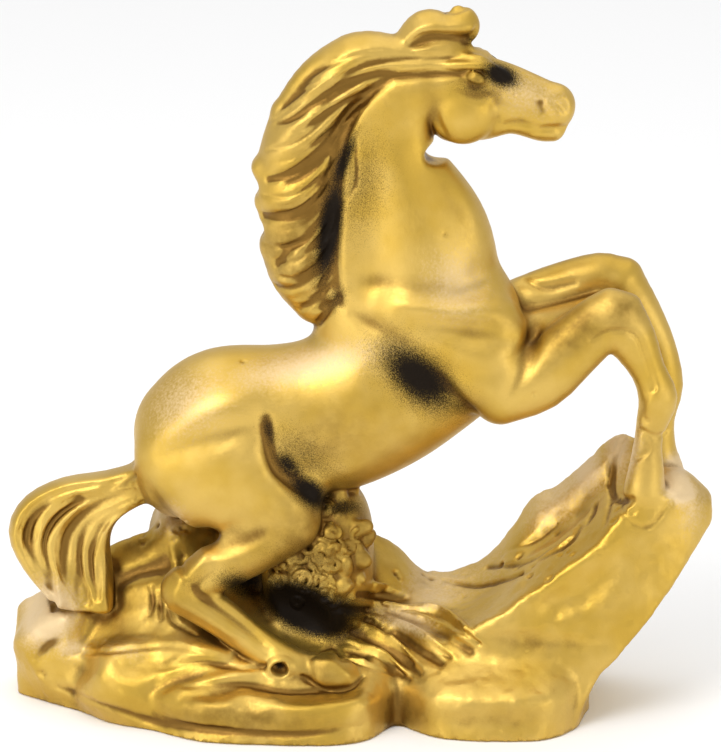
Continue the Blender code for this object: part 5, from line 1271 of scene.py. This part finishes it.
def gold_paint():
    """Satin gold paint, darkened to brown in the recesses as painted shade along with the paint's brown
    there, with brown wash and painted shade over some creases, and fine black dots airbrushed over it.
    """
    material = bpy.data.materials.new("gold_paint")
    nodes = Nodes(material)
    broad = nodes.noise(85.0)
    fine = nodes.noise(2400.0, 2.0, 0.6)
    speck = nodes.noise(6200.0, 1.0)
    recess = nodes.value_of("recess")
    black_spray = nodes.value_of("airbrush")
    worn = nodes.value_of("worn")
    wash_and_shade = nodes.value_of("wash_and_shade")
    gold = nodes.mix(nodes.spread(broad, 0.35, 0.65), GOLD_DEEP, GOLD_LIGHT)
    worn_edge = nodes.sum_of("ADD", worn, nodes.swing(fine, 0.5))
    pale = nodes.sum_of("MULTIPLY", nodes.spread(worn_edge, 0.1, 0.7), 0.85)
    gold = nodes.mix(pale, gold, GOLD_WORN)
    # The paint's brown wash mixed with painted shade over creases, the forearm, the knee and the rim,
    # mottled by noise.
    mottle = nodes.noise(420.0, 3.0)
    stain_and_shade = nodes.sum_of("MULTIPLY", wash_and_shade, nodes.spread(mottle, 0.3, 0.7, 0.45, 0.95))
    gold = nodes.mix(stain_and_shade, gold, GOLD_BROWN)
    # Painted shade: the hollows of the carving are darkened towards a deep brown, which also stands for
    # the paint's brown in them.
    hollow = nodes.sum_of("ADD", recess, nodes.swing(fine, 0.08))
    gold = nodes.mix(nodes.spread(hollow, 0.05, 0.34), gold, GOLD_RECESS)
    core = nodes.spread(nodes.sum_of("ADD", black_spray, nodes.swing(speck, 0.9)), 0.15, 0.95)
    core = nodes.sum_of("MAXIMUM", core, nodes.spread(black_spray, 0.5, 1.0))
    dots = nodes.spread(nodes.sum_of("ADD", speck, nodes.sum_of("MULTIPLY", black_spray, 0.3)), 0.60, 0.78)
    dots = nodes.sum_of("MULTIPLY", dots, nodes.spread(black_spray, 0.02, 0.5, 0.0, 0.5))
    black = nodes.sum_of("MAXIMUM", core, dots)
    nodes.feed(nodes.shader.inputs["Base Color"], nodes.mix(black, gold, BLACK))
    sheen = nodes.spread(fine, 0.3, 0.7, 0.36, 0.46)
    matt = nodes.sum_of("ADD", nodes.sum_of("MULTIPLY", black, 0.3), nodes.sum_of("MULTIPLY", pale, 0.12))
    matt = nodes.sum_of("ADD", matt, nodes.sum_of("MULTIPLY", wash_and_shade, 0.08))
    nodes.feed(nodes.shader.inputs["Roughness"], nodes.sum_of("ADD", sheen, matt))
    nodes.feed(nodes.shader.inputs["Metallic"], nodes.spread(pale, 0.0, 0.85, 0.9, 0.5))
    nodes.feed(nodes.shader.inputs["Specular IOR Level"], 0.3)
    nodes.feed(nodes.shader.inputs["Coat Weight"], 0.06)
    nodes.feed(nodes.shader.inputs["Coat Roughness"], 0.35)
    peel = nodes.noise(800.0, 2.0)
    relief = nodes.sum_of("ADD", nodes.sum_of("MULTIPLY", peel, 0.6), nodes.sum_of("MULTIPLY", fine, 0.4))
    bump = nodes.add("Bump", {"Strength": 0.3, "Distance": 0.0001, "Height": relief})
    nodes.feed(nodes.shader.inputs["Normal"], bump.outputs[0])
    return material


def floor():
    """The plain white surface under the statuette."""
    bpy.ops.mesh.primitive_plane_add(size=6, location=(0, 0, -0.0002))
    plane = bpy.context.object
    plane.name = "floor"
    material = bpy.data.materials.new("floor")
    nodes = Nodes(material)
    nodes.feed(nodes.shader.inputs["Base Color"], (0.92, 0.92, 0.92, 1))
    nodes.feed(nodes.shader.inputs["Roughness"], 0.8)
    plane.data.materials.append(material)


def softbox(name, place, size, power, aim=(0, 0, 0.05)):
    """A square area light that faces the statuette."""
    light = bpy.data.lights.new(name, "AREA")
    light.size = size
    light.energy = power
    lamp = bpy.data.objects.new(name, light)
    lamp.location = place
    lamp.rotation_euler = (Vector(aim) - Vector(place)).to_track_quat("-Z", "Y").to_euler()
    bpy.context.scene.collection.objects.link(lamp)


def studio():
    """A wide ceiling of light, a soft key light from above and the left, and a pale room."""
    softbox("ceiling", (0, 0.1, 1.3), 1.6, 6.0)
    softbox("key", (-0.22, -0.34, 0.44), 0.28, 1.3)
    softbox("fill", (-0.50, -0.45, 0.20), 0.40, 0.9)
    softbox("low", (0.50, -0.40, 0.10), 0.40, 0.7)
    world = bpy.data.worlds.new("room")
    bpy.context.scene.world = world
    world.use_nodes = True
    background = world.node_tree.nodes["Background"]
    background.inputs["Color"].default_value = (1, 1, 1, 1)
    background.inputs["Strength"].default_value = 0.78
    bpy.context.scene.view_settings.view_transform = "Standard"


def camera():
    """The camera at the photograph's angle."""
    lens = bpy.data.cameras.new("camera")
    lens.sensor_width = 36
    lens.lens = lens.sensor_width * CAMERA_DISTANCE / FRAME_WIDTH
    eye = bpy.data.objects.new("camera", lens)
    lift = np.radians(CAMERA_ELEVATION)
    away = Vector((0, -np.cos(lift), np.sin(lift)))
    eye.location = Vector(CAMERA_TARGET) + away * CAMERA_DISTANCE
    eye.rotation_euler = (-away).to_track_quat("-Z", "Y").to_euler()
    bpy.context.scene.collection.objects.link(eye)
    bpy.context.scene.camera = eye


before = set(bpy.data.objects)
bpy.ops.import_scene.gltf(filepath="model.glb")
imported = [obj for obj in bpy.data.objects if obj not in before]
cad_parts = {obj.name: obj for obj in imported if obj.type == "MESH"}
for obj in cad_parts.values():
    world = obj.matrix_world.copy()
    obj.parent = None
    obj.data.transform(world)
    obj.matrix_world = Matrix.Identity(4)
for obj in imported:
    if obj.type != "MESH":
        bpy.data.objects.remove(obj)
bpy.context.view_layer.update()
casting = bpy.data.objects.new("horse_statuette_casting", cast(sculpt(VOXEL)))
bpy.context.scene.collection.objects.link(casting)
casting.data.materials.clear()
casting.data.materials.append(gold_paint())
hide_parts(NODE)
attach(casting, "root")
floor()
studio()
camera()
